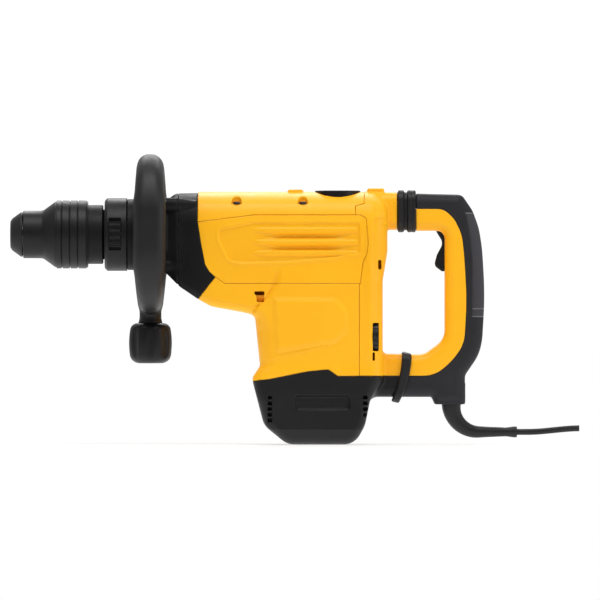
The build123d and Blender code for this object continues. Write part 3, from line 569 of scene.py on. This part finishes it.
def front_barrel(x, y, z):
    """Barrel, its flange with four bolt bosses, and the spigot that the collar turns on."""
    radius = np.hypot(y, z)
    barrel = meet(radius - 44.4 - 3.2 * ramp(x, 180, 190), abs(x - 164.6) - 24.2, 1.0)
    plate = meet(housing(x, y, z), abs(x - 196.4) - 7.45, 1.2)
    for by, bz in BOLT_PLACES:
        off_axis = np.hypot(abs(y) - by, z - bz)
        boss = meet(off_axis - 8.6, abs(x - 196.2) - 7.6, 1.2)
        boss = cut(boss, np.maximum(off_axis - 5.6, 0) + np.maximum(x - 191.5, -9), 0.3)
        plate = join(plate, boss, 1.5)
    shape = join(barrel, plate, 4)
    shape = join(shape, np.maximum(radius - 34, abs(x - 128) - 14), 0.3)
    return np.maximum(shape, 32.2 - radius)


# ---- front end ----
SLEEVE_BANDS = ((51.7, 58), (59.2, 68), (69.2, 78), (79.2, 89.2))
SLEEVE_R, BAND_R = 41.0, 42.5
COLLAR_X, COLLAR_HALF, COLLAR_R = 126.0, 14.0, 45.6
COLLAR_WINDOW_X, COLLAR_BORE_R = 125.2, 34.05


def front_end():
    lathe("dust_cap_skin", [
        (-6, 9.4, 0.8), (-6, 16.6, 2.4), (-3.4, 20.2, 3), (7.2, 27.9, 2.5), (9.3, 28, 0.8), (9.3, 17.1),
        (-0.2, 17.1), (-0.2, 14), (-3, 11, 1),
    ], "tool_holder", ["dust_cap"], "black_rubber")
    outer = [
        (10, 17.3), (10, 29, 0.6), (11, 29.7, 0.8), (33.5, 29.8, 5), (36.5, 31, 3), (49.6, 40.6, 3),
        (50.8, SLEEVE_R, 0.3),
    ]
    for start, end in SLEEVE_BANDS:
        outer += [(start, SLEEVE_R, 0.3), (start + 0.1, BAND_R, 0.8)]
        outer += [(end, BAND_R, 0.9), (end + 0.2, 40.7, 0.3)]
    outer += [(90.2, 41.5, 0.5), (91, SLEEVE_R, 0.3)]
    inner = [(91, 37.4), (60, 37.4), (60, 34), (46, 34), (46, 26), (14, 26), (14, 17.3)]
    lathe("lock_sleeve_skin", outer + inner, "lock_sleeve", ["lock_sleeve"], "black_plastic", 192)
    lathe("neck_ring_skin", [
        (74, 26.05), (74, 35.9), (75, 36.9, 0.6), (109, 36.9, 1.0), (110, 35.9, 0.5), (110, 31), (111.7, 31),
        (111.7, 26.05),
    ], "tool_holder", ["neck_ring"], "black_casting")
    spring = coil_spring("lock_spring_coil", (60.6, 0, 0), 20.5, 1.5, 28.6, 4, "tool_holder", ["lock_spring"])
    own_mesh(spring)
    solid("index_collar_skin", index_collar, (109.5, -48, -48), (142.5, 48, 48), 0.9,
          "index_collar", ["index_collar"], "black_plastic")


def index_collar(x, y, z):
    """Collar with a chamfered front edge and a ribbed window on each side."""
    radius = np.hypot(y, z)
    shape = meet(radius - COLLAR_R, abs(x - COLLAR_X) - COLLAR_HALF, 1.0)
    shape = np.maximum(shape, (radius - COLLAR_R + 116 - x) * math.sqrt(0.5) - 0.4)
    length, along, out = x - COLLAR_WINDOW_X, abs(z), abs(y)
    shape = cut(shape, np.maximum(rounded_box(length, along, 8.2, 20, 2.2), 42.6 - out), 0.5)
    shape = cut(shape, np.maximum(rounded_box(length, along - 18, 7.4, 1.9, 1.2), 36.5 - out), 0.3)
    for centre in (4.2, 11.6):
        rib = meet(rounded_box(length, along - centre, 7.6, 1.5, 1.2), out - 44.4, 0.6)
        shape = join(shape, np.maximum(rib, 38 - out), 0.4)
    return np.maximum(shape, COLLAR_BORE_R - radius)


LOOP_X, LOOP_CENTRE_Z = 169.0, 1.0
LOOP_RUN_Y, LOOP_RUN_Z = 95.0, 82.0
LOOP_OUTLINE_R, LOOP_DEPTH_HALF, LOOP_ROUND = 66.0, 17.0, 13.4
STUD_R, STUD_BORE_R = 4.0, 4.1
KNOB_Z, KNOB_HALF, KNOB_R, KNOB_FLUTES = -135.8, 25.2, 27.5, 8


def loop_half_width(z):
    """Half-width of the loop along the chisel axis, which swells towards its middle."""
    level = [-98, -89, -67, -52, -42, 38, 53, 83, 91, 98]
    width = [13.5, 15.2, 17.2, 18.6, 20.2, 20.3, 18.4, 16.6, 15.6, 15.2]
    return np.interp(z, level, width)


def side_loop(x, y, z):
    ring = rounded_box(y, z - LOOP_CENTRE_Z, LOOP_RUN_Y, LOOP_RUN_Z, LOOP_OUTLINE_R)
    return rounded_box(x - LOOP_X, ring, loop_half_width(z), LOOP_DEPTH_HALF, LOOP_ROUND)


def side_handle(x, y, z):
    """Loop with the post that carries the clamp's stud, and room for the clamp band."""
    from_stud = np.hypot(x - LOOP_X, y)
    post_radius = 13.7 + 1.4 * ramp(-z, 104, 111)
    post = np.maximum(from_stud - post_radius, abs(z + 79.9) - 31.1)
    shape = join(side_loop(x, y, z), post, 5)
    shape = np.maximum(shape, 50.3 - np.hypot(y, z))
    return np.maximum(shape, -np.maximum(from_stud - STUD_BORE_R, z))


def clamp_knob(x, y, z):
    """Barrel-shaped knob with shallow flutes."""
    dx = x - LOOP_X
    radius = np.hypot(dx, y)
    belly = KNOB_R - 3.4 * ((z - KNOB_Z) / 25) ** 2
    body = meet(radius - belly, abs(z - KNOB_Z) - KNOB_HALF, 8.5 + 2 * ramp(-z, 120, 150))
    step = 2 * math.pi / KNOB_FLUTES
    folded = (np.arctan2(y, dx) + step / 2) % step - step / 2
    flute = np.hypot(radius * np.cos(folded) - 32.4, radius * np.sin(folded)) - 7
    body = cut(body, flute, 2.2)
    return np.maximum(body, -np.maximum(radius - STUD_BORE_R, -150 - z))


def clamp_band(x, y, z):
    """Band round the barrel, with its stud."""
    radius = np.hypot(y, z)
    band = meet(abs(radius - 47.2) - 2.8, abs(x - LOOP_X) - 15, 1.2)
    stud = np.maximum(np.hypot(x - LOOP_X, y) - STUD_R, abs(z + 98) - 51)
    return join(band, stud, 1)


def side_handle_pieces():
    solid("side_handle_grip", side_handle, (146, -114, -112), (192, 114, 103), 1.6,
          "side_handle", ["side_handle_loop"], "black_rubber")
    solid("clamp_knob_grip", clamp_knob, (139, -30, -164), (199, 30, -107), 0.9,
          "clamp_knob", ["clamp_knob"], "black_plastic")
    solid("clamp_band_strap", clamp_band, (151, -53, -152), (187, 53, 53), 1.1,
          "side_handle", ["clamp_band"], "black_casting")


# ---- rear handle ----
grip_outline = outline([
    (450, 52.3), (558, 49.7, 10), (571.5, 29.8, 40), (579.5, 8, 90), (583.5, -18, 200), (587, -76, 600),
    (583.5, -134, 200), (578.5, -152, 60), (562, -176, 12), (562, -212, 4), (524, -212, 5), (520, -203, 3),
    (440, -203), (440, -149.5), (511, -149.8, 22), (536.5, -131, 22), (536.5, 4.4, 10), (450, 4.4),
])
yellow_zone = outline([
    (450, 32.4), (535.3, 31.8, 20), (549, 19, 30), (558.2, -0.5, 50), (561, -26, 200), (564.5, -82, 600),
    (561, -137, 60), (546, -158, 90), (524, CAP_SEAM_Z, 40), (450, CAP_SEAM_Z),
])
back_pad = outline([
    (563, 26.6, 2), (600, 26.6), (600, -92), (573.5, -92, 2), (572.5, -60, 90), (568.5, 0, 60),
])
pad_end = outline([(573.5, -93.4, 2), (600, -93.4), (600, -102.4), (573.2, -102.4, 2)])
PAD_RISE, GRIP_WALL = 0.8, 4


def handle(x, y, z):
    """Whole rear grip, as if it were one solid, behind the bellows and the lower joint face."""
    pads = ramp(-back_pad(x, z), -0.4, 1.0) + ramp(-pad_end(x, z), -0.4, 1.0)
    shape = meet(grip_outline(x, z), abs(y) - ARM_HALF - PAD_RISE * pads, 12.5)
    ends = np.minimum(np.maximum(501 - x, -100 - z), np.maximum(split_x(z) + 1 - x, z + 100))
    return np.maximum(shape, ends)


def tongue_slot(x, y, z):
    """Room inside the lower arm for the housing's pivot tongue."""
    return np.maximum(np.hypot(x - 486, z - ARM_Z) - 12.5, abs(y) - 6.5)


def handle_half(x, y, z):
    """Left half of the yellow handle, open inside the bow for the trigger."""
    value = meet(shell(handle(x, y, z), GRIP_WALL), yellow_zone(x, z) + SEAM, SEAM_EDGE)
    slot = np.maximum(abs(x - 536) - 12.5, np.maximum(abs(z + 19.8) - 31.3, abs(y) - 7.8))
    value = np.maximum(np.maximum(value, -slot), -tongue_slot(x, y, z))
    return np.maximum(value, y + 0.1)


def overmould(x, y, z):
    """Rubber round the handle's back and underside, with the cord's socket."""
    value = meet(shell(handle(x, y, z), GRIP_WALL), -yellow_zone(x, z), SEAM_EDGE)
    socket = meet(rounded_box(x - 543, y, 19, 17.5, 7), abs(z + 199) - 12.9, 1)
    value = join(value, socket, 1.5)
    value = np.maximum(value, -np.maximum(np.hypot(x - CORD_X, y) - 12.4, z + 195))
    return np.maximum(value, -tongue_slot(x, y, z))


trigger_side = outline([
    (526.4, 3.2, 2), (526.4, 11, 3), (541, 11), (541, -45, 3), (533.5, -46.5, 4), (525, -40, 4),
    (524.2, -35.5, 4), (527, -25.2, 12), (533.2, -13.7, 10), (533.2, -8, 8),
])


def trigger(x, y, z):
    shape = meet(trigger_side(x, z), abs(y) - 7, 2.4)
    pin = np.maximum(np.hypot(x - 534, z - 8.5) - 3, abs(y) - 12)
    return np.minimum(shape, pin)


def bellows(x, y, z):
    """Rubber sleeve round the upper arm, with a narrow fold and a wide one."""
    fold = ramp(x, 477.6, 479.4) - ramp(x, 484.6, 486.6) + ramp(x, 489.2, 491) - ramp(x, 499.4, 501)
    fold = 2.6 * fold - 0.5 * ramp(1.2 - abs(x - 495.4), 0, 1.2)
    shape = meet(rounded_box(y, z - 29.0, 21.0, 23.7, 12) - fold, abs(x - 489) - 11.6, 0.6)
    return np.maximum(shape, -rounded_box(y, z - 29.0, 18.2, 20.9, 10))


def seal_ring(x, y, z):
    """Rubber strap round the lower arm, over its joint face."""
    slant_x, rise = x - JOINT_X, z - JOINT_Z
    along = rise * math.cos(SPLIT_LEAN) + slant_x * math.sin(SPLIT_LEAN)
    through = (slant_x - joint_bow(z)) * math.cos(SPLIT_LEAN) - rise * math.sin(SPLIT_LEAN)
    ring = rounded_box(y, along, 22.4, 29.4, 10)
    return rounded_box(ring, through, 2.6, 5.9 - 0.7 * ramp(-along, 0, 28), 2.5)


def rear_handle_pieces():
    solid_pair(("handle_left", "handle_right"), handle_half, (474, -23, -180), (568, 3, 35), 1.1,
               "rear_handle", "yellow_plastic")
    solid("grip_overmould_skin", overmould, (472, -23.5, -216), (590, 23.5, 56), 1.2,
          "rear_handle", ["grip_overmould"], "black_rubber")
    solid("trigger_lever", trigger, (520, -14, -50), (544, 14, 14), 0.7,
          "trigger", ["trigger"], "black_plastic")
    boot = solid("handle_bellows_boot", bellows, (475, -26, 0), (503, 26, 58), 0.8, None,
                 ["handle_bellows"], "black_rubber")
    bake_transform(boot)
    ring = solid("handle_seal_gaiter", seal_ring, (465, -27, -213), (500, 27, -139), 0.8, None,
                 ["handle_seal_ring"], "black_rubber")
    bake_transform(ring)
    spring = coil_spring("handle_spring_coil", (465.3, 0, 28.5), 11, 1.5, 35.1, 4, None, ["handle_spring"])
    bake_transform(spring)


# ---- swept pieces ----
def unit(rows):
    """Each row scaled to length one."""
    return rows / np.linalg.norm(rows, axis=1)[:, None]


def tube(path, u, v, rows, segments, close_rows=False):
    """Points and faces of rings about a path, in the planes of u and v, from (path index, radius) rows."""
    angle = np.linspace(0, 2 * math.pi, segments, endpoint=False)
    cos, sin = np.cos(angle)[:, None], np.sin(angle)[:, None]
    rings = [path[i] + r * (cos * u[i] + sin * v[i]) for i, r in rows]
    return np.vstack(rings), grid_faces(len(rings), segments, close_rows)


def sweep(name, path, radii, body, replaces, slot, segments=28, hole=0.0):
    """Round piece along a path in millimetres; radii has one value per path point."""
    tangent = unit(np.gradient(path, axis=0))
    side = np.array([0.0, 1.0, 0.0])
    u = unit(side - (tangent @ side)[:, None] * tangent)
    rows = [(0, hole)] + list(enumerate(radii)) + [(len(path) - 1, hole)]
    if hole:
        rows += [(i, hole) for i in range(len(path) - 2, 0, -1)]
    points, faces = tube(path, u, np.cross(tangent, u), rows, segments, bool(hole))
    closed_mesh(name, points, faces, body, replaces, slot)


def coil_spring(name, start, radius, wire, length, turns, body, replaces):
    """Steel coil along X from start, by the radius of its wire's centre line and of the wire."""
    tip = 0.2
    count = 40 * turns
    t = np.linspace(0, 1, count)
    angle = 2 * math.pi * turns * t
    out = np.stack([np.zeros(count), np.cos(angle), np.sin(angle)], 1)
    path = np.array(start) + radius * out
    path[:, 0] += wire + (length - 2 * wire) * t
    tangent = unit(np.gradient(path, axis=0))
    rows = [(0, tip)] + [(i, wire) for i in range(count)] + [(count - 1, tip)]
    points, faces = tube(path, out, np.cross(tangent, out), rows, 12)
    return closed_mesh(name, points, faces, body, replaces, "steel")


def cord_path(start_z, end_x, spacing=2.0):
    """Line of the cord: down from the grip, round a quarter bend and away to the rear."""
    top = CORD_Z + CORD_BEND
    down = [(CORD_X, 0, z) for z in np.arange(start_z, top, -spacing)]
    turn = []
    for a in np.linspace(0, math.pi / 2, 28):
        turn.append((CORD_X + CORD_BEND * (1 - math.cos(a)), 0, top - CORD_BEND * math.sin(a)))
    start = CORD_X + CORD_BEND + spacing
    straight = [(x, 0, CORD_Z) for x in np.arange(start, end_x + 0.01, spacing)]
    return np.array(down + turn + straight)


def cord():
    cable_r, bore_r = 3.8, 3.95
    path = cord_path(-206, 627, 1.0)
    reach = np.concatenate([[0], np.cumsum(np.linalg.norm(np.diff(path, axis=0), axis=1))])
    end = reach[-1]
    stations = [0, 6, 22, 45, 70, end - 14, end - 3, end]
    radii = np.interp(reach, stations, [12.1, 12.1, 10.4, 8.4, 6.6, 5.6, 7, 6.6])
    sweep("cord_guard_boot", path, radii, "rear_handle", ["cord_guard"], "black_rubber", 36, bore_r)
    path = cord_path(-197, CORD_END_X)
    wander = ramp(path[:, 0], 640, CORD_END_X)
    path[:, 2] += 4.5 * wander
    path[:, 1] += 3.0 * wander
    radii = np.full(len(path), cable_r)
    sweep("supply_cable_run", path, radii, "rear_handle", ["supply_cable"], "black_rubber")


def screw_set(name, places, profile, body, replaces):
    """Round steel pieces about upright axes at (x, y, z), of one (radius, height, corner radius) profile."""
    rim = arc_corners(profile, 3)
    segments = 32
    radius = np.repeat([p[0] for p in rim], segments)
    height = np.repeat([p[1] for p in rim], segments)
    turn = np.tile(np.linspace(0, 2 * math.pi, segments, endpoint=False), len(rim))
    one = np.stack([radius * np.cos(turn), -radius * np.sin(turn), height], 1)
    faces = grid_faces(len(rim), segments, False)
    points = np.vstack([one + place for place in places])
    faces = np.vstack([faces + k * len(one) for k in range(len(places))])
    closed_mesh(name, points, faces, body, replaces, "steel")


def housing_screw_heads():
    places = [(x, side * TOP_SCREW_Y, TOP_SCREW_FLOOR) for x in TOP_SCREW_X for side in (1, -1)]
    places += [np.multiply(CHIN_SCREW, (1, side, 1)) for side in (1, -1)]
    profile = [
        (0.05, -12), (1.9, -12), (1.9, 0), (4.6, 0, 0.3), (4.6, 2.9, 0.9), (2.2, 2.9, 0.1), (1.9, 1.2, 0.1),
        (0.05, 1.2),
    ]
    screw_set("housing_screw_set", places, profile, "root", ["housing_screws"])


# ---- housing pieces ----
def gear_case_chamber(x, y, z):
    """Inner wall of the gear case: a tube round the cylinder and a round room for the crank."""
    radius = np.hypot(y, z)
    from_crank = np.hypot(x - CRANK_X, y)
    tube = np.maximum(abs(radius - 33.05) - 3, abs(x - 290.5) - 75)
    room = np.maximum(from_crank - 45.8, abs(z + 10.5) - 45.3)
    roof = np.maximum(from_crank - 28.2, abs(z - 36) - 5.9)
    shape = np.minimum(np.minimum(tube, room), roof)
    shape = np.maximum(shape, -np.maximum(from_crank - 41.5, abs(z + 14) - 43))
    shape = np.maximum(shape, -np.maximum(from_crank - 24, 20 - z))
    shape = np.maximum(shape, housing(x, y, z) + WALL + 1)
    return np.maximum(shape, -np.maximum(radius - 30.05, x - 380))


def crank_cap(x, y, z):
    """Disc in the top cover, sunk inside its rim, with three blind holes in the rim."""
    rim_r = 24.3
    from_crank = np.hypot(x - CRANK_X, y)
    shape = meet(from_crank - CRANK_CAP_R, abs(z - 48.5) - 6.3, 1.3)
    shape = cut(shape, np.maximum(from_crank - 20.5, 53.9 - z), 0.4)
    for angle in (30, 150, 270):
        a = math.radians(angle)
        hole = np.hypot(x - CRANK_X - rim_r * math.cos(a), y - rim_r * math.sin(a)) - 1.6
        shape = cut(shape, np.maximum(hole, 53 - z), 0.2)
    return shape


def housing_pieces():
    for node, ending, slot, shape, step, low, high in (
        ("front_barrel", "casting", "black_casting", front_barrel, 1.15, (111, -58, -66), (207, 58, 58)),
        ("gear_case", "casting", "black_casting", gear_case, 1.05, (201, -59, -92), (256, 59, 58)),
        ("top_cover", "skin", "yellow_plastic", top_cover, 1.15, (225, -57, 10), (440, 57, 60)),
        ("motor_housing", "skin", "yellow_plastic", motor_housing, 1.25, (219, -62, -188), (433, 62, -50)),
        ("bottom_cap", "skin", "black_plastic", bottom_cap, 1.25, (283, -63, -265), (494, 63, -165)),
        ("crank_cap", "disc", "black_plastic", crank_cap, 0.9, (372, -31, 40), (434, 31, 57)),
    ):
        solid(node + "_" + ending, shape, low, high, step, "root", [node], slot)
    for node, side, low_y in (("rear_housing_left", -1, -61), ("rear_housing_right", 1, -3)):
        solid(node + "_skin", rear_housing(side), (422, low_y, -180), (494, low_y + 64, 60), 1.15,
              "root", [node], "yellow_plastic")
    solid("gear_case_chamber", gear_case_chamber, (212, -50, -60), (453, 50, 46), 2.4,
          "root", (), "black_casting")
    solid_pair(("side_cover_left", "side_cover_right"), side_cover(-1), (225, -58, -66), (445, -17, 28), 1.1,
               "root", "yellow_plastic")
    housing_screw_heads()


# ---- materials ----
# The last colour here is painted shade for the hollows of black pieces; the worn colours are edge wear.
RUBBER_WORN, BLACK_WORN, BLACK_HOLLOW_SHADE = (0.05, 0.05, 0.052), (0.06, 0.06, 0.06), (0.006, 0.006, 0.006)


def feed(tree, node, inputs):
    """Gives inputs of a node, by name or number, a socket to follow or a value."""
    for key, value in inputs.items():
        if isinstance(value, bpy.types.NodeSocket):
            tree.links.new(value, node.inputs[key])
        else:
            node.inputs[key].default_value = value


def add_node(tree, kind, inputs=None, **settings):
    """New shader node with its inputs fed; gives its outputs."""
    node = tree.nodes.new("ShaderNode" + kind)
    for key, value in settings.items():
        setattr(node, key, value)
    feed(tree, node, inputs or {})
    return node.outputs


def node_kit(name):
    """New material, its tree, its shader and the object's own coordinates."""
    material = bpy.data.materials.new(name)
    material.use_nodes = True
    tree = material.node_tree
    return material, tree, tree.nodes["Principled BSDF"], add_node(tree, "TexCoord")["Object"]


def noise(tree, spot, scale, detail=2.0, roughness=0.5):
    inputs = {"Vector": spot, "Scale": scale, "Detail": detail, "Roughness": roughness}
    return add_node(tree, "TexNoise", inputs)["Fac"]


def remap(tree, value, from_low, from_high, to_low, to_high):
    return add_node(tree, "MapRange", {
        "Value": value, "From Min": from_low, "From Max": from_high, "To Min": to_low, "To Max": to_high,
    })["Result"]


def mix_colour(tree, factor, *colours):
    """Mix of two colours, each a socket or (red, green, blue)."""
    first, second = [c if isinstance(c, bpy.types.NodeSocket) else (*c, 1.0) for c in colours]
    return add_node(tree, "Mix", {"Factor": factor, "A": first, "B": second}, data_type="RGBA")["Result"]


def maths(tree, operation, *values):
    return add_node(tree, "Math", dict(enumerate(values)), operation=operation)[0]


def bump(tree, height, distance, strength=1.0, under=None):
    inputs = {"Height": height, "Distance": distance, "Strength": strength}
    if under is not None:
        inputs["Normal"] = under
    return add_node(tree, "Bump", inputs)["Normal"]


def moulding(name, base, tint, worn, hollow_shade, rough, grain, grain_depth, wear=0.35, shine=0.2):
    """Moulded or cast surface: mottled colour, fine grain, rubbed edges, and concave hollows darkened with
    painted shade.
    """
    material, tree, shader, spot = node_kit(name)
    broad = remap(tree, noise(tree, spot, 14, 4, 0.6), 0.35, 0.65, 0, 1)
    colour = mix_colour(tree, broad, base, tint)
    pointed = add_node(tree, "NewGeometry")["Pointiness"]
    edge = remap(tree, pointed, 0.53, 0.62, 0, 1)
    scuff = remap(tree, noise(tree, spot, 160, 6, 0.7), 0.4, 0.7, 0.2 * wear, 1.6 * wear)
    colour = mix_colour(tree, maths(tree, "MULTIPLY", edge, scuff), colour, worn)
    # painted shade: concave hollows, where pointiness is low, take on the hollow shade colour
    colour = mix_colour(tree, remap(tree, pointed, 0.47, 0.40, 0, 0.55), colour, hollow_shade)
    fine = bump(tree, noise(tree, spot, grain, 3, 0.6), grain_depth, 0.8)
    feed(tree, shader, {
        "Base Color": colour,
        "Roughness": remap(tree, noise(tree, spot, 55, 5, 0.65), 0.3, 0.7, rough - 0.06, rough + 0.07),
        "Normal": bump(tree, noise(tree, spot, 60), 0.00006, 0.5, fine),
        "Specular IOR Level": shine,
    })
    return material


def metal(name, base, tint, rough, streak_axis):
    """Ground or turned metal with fine streaks round one axis."""
    material, tree, shader, spot = node_kit(name)
    stretch = [900.0 if axis == streak_axis else 12.0 for axis in "XYZ"]
    stretched = add_node(tree, "Mapping", {"Vector": spot, "Scale": stretch})["Vector"]
    streak = noise(tree, stretched, 1.0, 4.0)
    feed(tree, shader, {
        "Base Color": mix_colour(tree, noise(tree, spot, 35, 5, 0.6), base, tint),
        "Roughness": remap(tree, streak, 0.3, 0.7, rough - 0.08, rough + 0.12),
        "Normal": bump(tree, streak, 0.00002),
        "Metallic": 1.0,
    })
    return material


def laminated(name):
    """Stack of thin steel sheets across Z."""
    material, tree, shader, spot = node_kit(name)
    inputs = {"Vector": spot, "Scale": 320.0, "Distortion": 0.4}
    wave = add_node(tree, "TexWave", inputs, bands_direction="Z")["Fac"]
    feed(tree, shader, {
        "Base Color": mix_colour(tree, wave, (0.10, 0.10, 0.105), (0.26, 0.26, 0.27)),
        "Roughness": remap(tree, noise(tree, spot, 80, 4), 0.3, 0.7, 0.35, 0.55),
        "Normal": bump(tree, wave, 0.00015),
        "Metallic": 0.8,
    })
    return material


def grip_rubber():
    """Overmould whose back pad is painted a lighter, softer grey as a painted highlight, between pale lines
    painted as highlights at its edges.
    """
    material = moulding("grip_overmould_rubber", (0.0150, 0.0148, 0.0172), (0.0200, 0.0196, 0.0220),
                        RUBBER_WORN, BLACK_HOLLOW_SHADE, 0.56, 900, 0.00009, 0.25)
    # painted highlight: the pad colour lightens the back pad for light falling on it from the rear, and the
    # pale line colour paints highlights along its edges
    pad, edge_highlight_colour, edge_highlight_half = (0.042, 0.040, 0.046), (0.12, 0.12, 0.125), 0.0007
    tree = material.node_tree
    shader = tree.nodes["Principled BSDF"]
    split = add_node(tree, "SeparateXYZ", {"Vector": add_node(tree, "TexCoord")["Object"]})
    x, z = split["X"], split["Z"]
    rise = maths(tree, "MAXIMUM", maths(tree, "ADD", z, 0.05), 0)
    forward = maths(tree, "MULTIPLY", maths(tree, "MULTIPLY", rise, rise), 1.47)
    back = remap(tree, maths(tree, "ADD", x, forward), 0.5700, 0.5725, 0, 1)
    over, under = remap(tree, z, -0.1030, -0.1018, 0, 1), remap(tree, z, 0.0272, 0.0260, 0, 1)
    pad_highlight_mask = maths(tree, "MULTIPLY", back, maths(tree, "MULTIPLY", over, under))
    colour = mix_colour(tree, pad_highlight_mask, shader.inputs["Base Color"].links[0].from_socket, pad)
    # painted highlights: thin pale lines at the top and bottom edges of the back pad
    for level in (0.0266, -0.0927, -0.1025):
        line = maths(tree, "MULTIPLY", back, maths(tree, "COMPARE", z, level, edge_highlight_half))
        colour = mix_colour(tree, line, colour, edge_highlight_colour)
    feed(tree, shader, {"Base Color": colour})
    return material


def finishes():
    """Every finish by its slot's name."""
    return {
        # Each moulding's fourth colour is painted shade for its concave hollows.
        "yellow_plastic": moulding(
            "yellow_moulding", (0.93, 0.45, 0.010), (0.91, 0.425, 0.008), (0.98, 0.60, 0.08),
            (0.50, 0.20, 0.005), 0.40, 1500, 0.00004, 0.3, 0.22),
        "black_plastic": moulding(
            "black_moulding", (0.0052, 0.0052, 0.0054), (0.0075, 0.0075, 0.0077), BLACK_WORN, BLACK_HOLLOW_SHADE,
            0.42, 1400, 0.00006, 0.3, 0.22),
        "black_rubber": moulding(
            "black_overmould", (0.0070, 0.0069, 0.0074), (0.0100, 0.0097, 0.0104), RUBBER_WORN, BLACK_HOLLOW_SHADE,
            0.48, 900, 0.00009, 0.25, 0.28),
        "grip": grip_rubber(),
        "black_casting": moulding(
            "black_powder_coat", (0.0045, 0.0045, 0.0048), (0.0070, 0.0070, 0.0074), (0.12, 0.12, 0.12),
            (0.004, 0.004, 0.004), 0.50, 700, 0.00012, 0.4, 0.15),
        "steel": metal("ground_steel", (0.55, 0.56, 0.58), (0.42, 0.42, 0.43), 0.28, "X"),
        "screws": metal("blackened_screws", (0.035, 0.035, 0.037), (0.07, 0.065, 0.06), 0.42, "Z"),
        "bronze": metal("turned_bronze", (0.62, 0.42, 0.18), (0.48, 0.30, 0.12), 0.34, "X"),
        "copper": metal("turned_copper", (0.72, 0.34, 0.18), (0.55, 0.24, 0.12), 0.34, "Z"),
        "laminations": laminated("stacked_laminations"),
        "carbon": moulding(
            "pressed_carbon", (0.035, 0.035, 0.036), (0.055, 0.055, 0.056), (0.12, 0.12, 0.12),
            (0.02, 0.02, 0.02), 0.62, 1100, 0.0001),
        "board_green": moulding(
            "circuit_board", (0.015, 0.13, 0.05), (0.02, 0.17, 0.06), (0.05, 0.25, 0.1), (0.01, 0.06, 0.03),
            0.32, 600, 0.00005),
    }


SCREWS = ("housing_screws", "handle_screws", "barrel_bolts")
SPECIAL = {"housing_screw_set": "screws", "grip_overmould_skin": "grip"}


def dress():
    """Gives every piece and every CAD node the finish of its slot."""
    looks = finishes()
    slots = {part["node"]: part["material_slot"] for part in frame["record"]["subparts"]}
    for name, obj in frame["nodes"].items():
        obj.data.materials.clear()
        obj.data.materials.append(looks["screws" if name in SCREWS else slots[name]])
    for obj in bpy.context.scene.objects:
        if obj.type == "MESH" and obj.name not in frame["nodes"] and "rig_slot" in obj:
            obj.data.materials.clear()
            obj.data.materials.append(looks[SPECIAL.get(obj.name, obj["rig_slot"])])


# ---- studio ----
FOCUS, FLOOR_HALF = (0.35, 0, -0.05), 40
LIGHTS = (                                      # name, place, size, watts
    ("key_above", (0.25, -0.65, 1.6), (1.8, 0.8), 26),
    ("fill_front", (0.5, -3.0, 1.9), (1.0, 0.8), 4),
    ("rim_right", (2.1, -0.8, 0.5), (0.9, 1.2), 8),
    ("back_above", (0.3, 1.8, 1.4), (1.6, 0.9), 24),
)
CAMERA_PLACE, LENS_MM, SENSOR_MM = (0.3559, -12.0, -0.0819), 576, 36


def camera_value(tree, seen, unseen):
    """A number for what the camera sees directly, and a socket's value for every other ray."""
    return remap(tree, add_node(tree, "LightPath")["Is Camera Ray"], 0, 1, unseen, seen)


def studio_floor():
    """Pale floor that glows more under the object, and is clear from below."""
    mesh = bpy.data.meshes.new("studio_floor")
    corners = [(x * FLOOR_HALF, y * FLOOR_HALF, 0) for x, y in ((-1, -1), (1, -1), (1, 1), (-1, 1))]
    mesh.from_pydata(corners, [], [(0, 1, 2, 3)])
    floor = link("studio_floor", mesh)
    floor.location = (FOCUS[0], 0, CAD_BOX[0][2] - 0.0005)
    material, tree, shader, spot = node_kit("pale_floor")
    feed(tree, shader, {"Base Color": (0.93, 0.93, 0.93, 1), "Roughness": 0.7})
    away = add_node(tree, "VectorMath", {0: spot}, operation="LENGTH")["Value"]
    glow_strength = camera_value(tree, 1.0, remap(tree, away, 0.2, 1.4, 1.8, 0.75))
    glow = add_node(tree, "Emission", {"Strength": glow_strength})["Emission"]
    share = remap(tree, away, 0.1, 1.3, 0.65, 1)
    above = add_node(tree, "MixShader", {"Fac": share, 1: shader.outputs["BSDF"], 2: glow})["Shader"]
    below = add_node(tree, "BsdfTransparent")["BSDF"]
    from_below = add_node(tree, "NewGeometry")["Backfacing"]
    surface = add_node(tree, "MixShader", {"Fac": from_below, 1: above, 2: below})["Shader"]
    feed(tree, tree.nodes["Material Output"], {"Surface": surface})
    mesh.materials.append(material)


def studio_world():
    """White to the camera; dimmer in front of the object than behind it for every other ray."""
    world = bpy.data.worlds.new("studio")
    bpy.context.scene.world = world
    world.use_nodes = True
    tree = world.node_tree
    split = add_node(tree, "SeparateXYZ", {"Vector": add_node(tree, "TexCoord")["Generated"]})
    around = remap(tree, split["Y"], -0.9, 0.0, 0.10, 0.60)
    strength = camera_value(tree, 1.05, around)
    feed(tree, tree.nodes["Background"], {"Color": (1, 1, 1, 1), "Strength": strength})


def studio_lights():
    for name, place, size, watts in LIGHTS:
        light = bpy.data.lights.new(name, "AREA")
        light.shape = "RECTANGLE"
        light.size, light.size_y = size
        light.energy = watts
        lamp = link(name, light)
        lamp.location = place
        lamp.rotation_euler = (Vector(FOCUS) - Vector(place)).to_track_quat("-Z", "Y").to_euler()


def studio_camera():
    """Level camera at the object's left side, far enough off to look almost square on."""
    lens = bpy.data.cameras.new("camera")
    lens.lens, lens.sensor_width = LENS_MM, SENSOR_MM
    camera = link("camera", lens)
    camera.location = CAMERA_PLACE
    camera.rotation_euler = (math.pi / 2, 0, 0)
    bpy.context.scene.camera = camera
    bpy.context.scene.view_settings.view_transform = "Standard"


front_end()
side_handle_pieces()
housing_pieces()
rear_handle_pieces()
cord()
dress()
studio_floor()
studio_world()
studio_lights()
studio_camera()
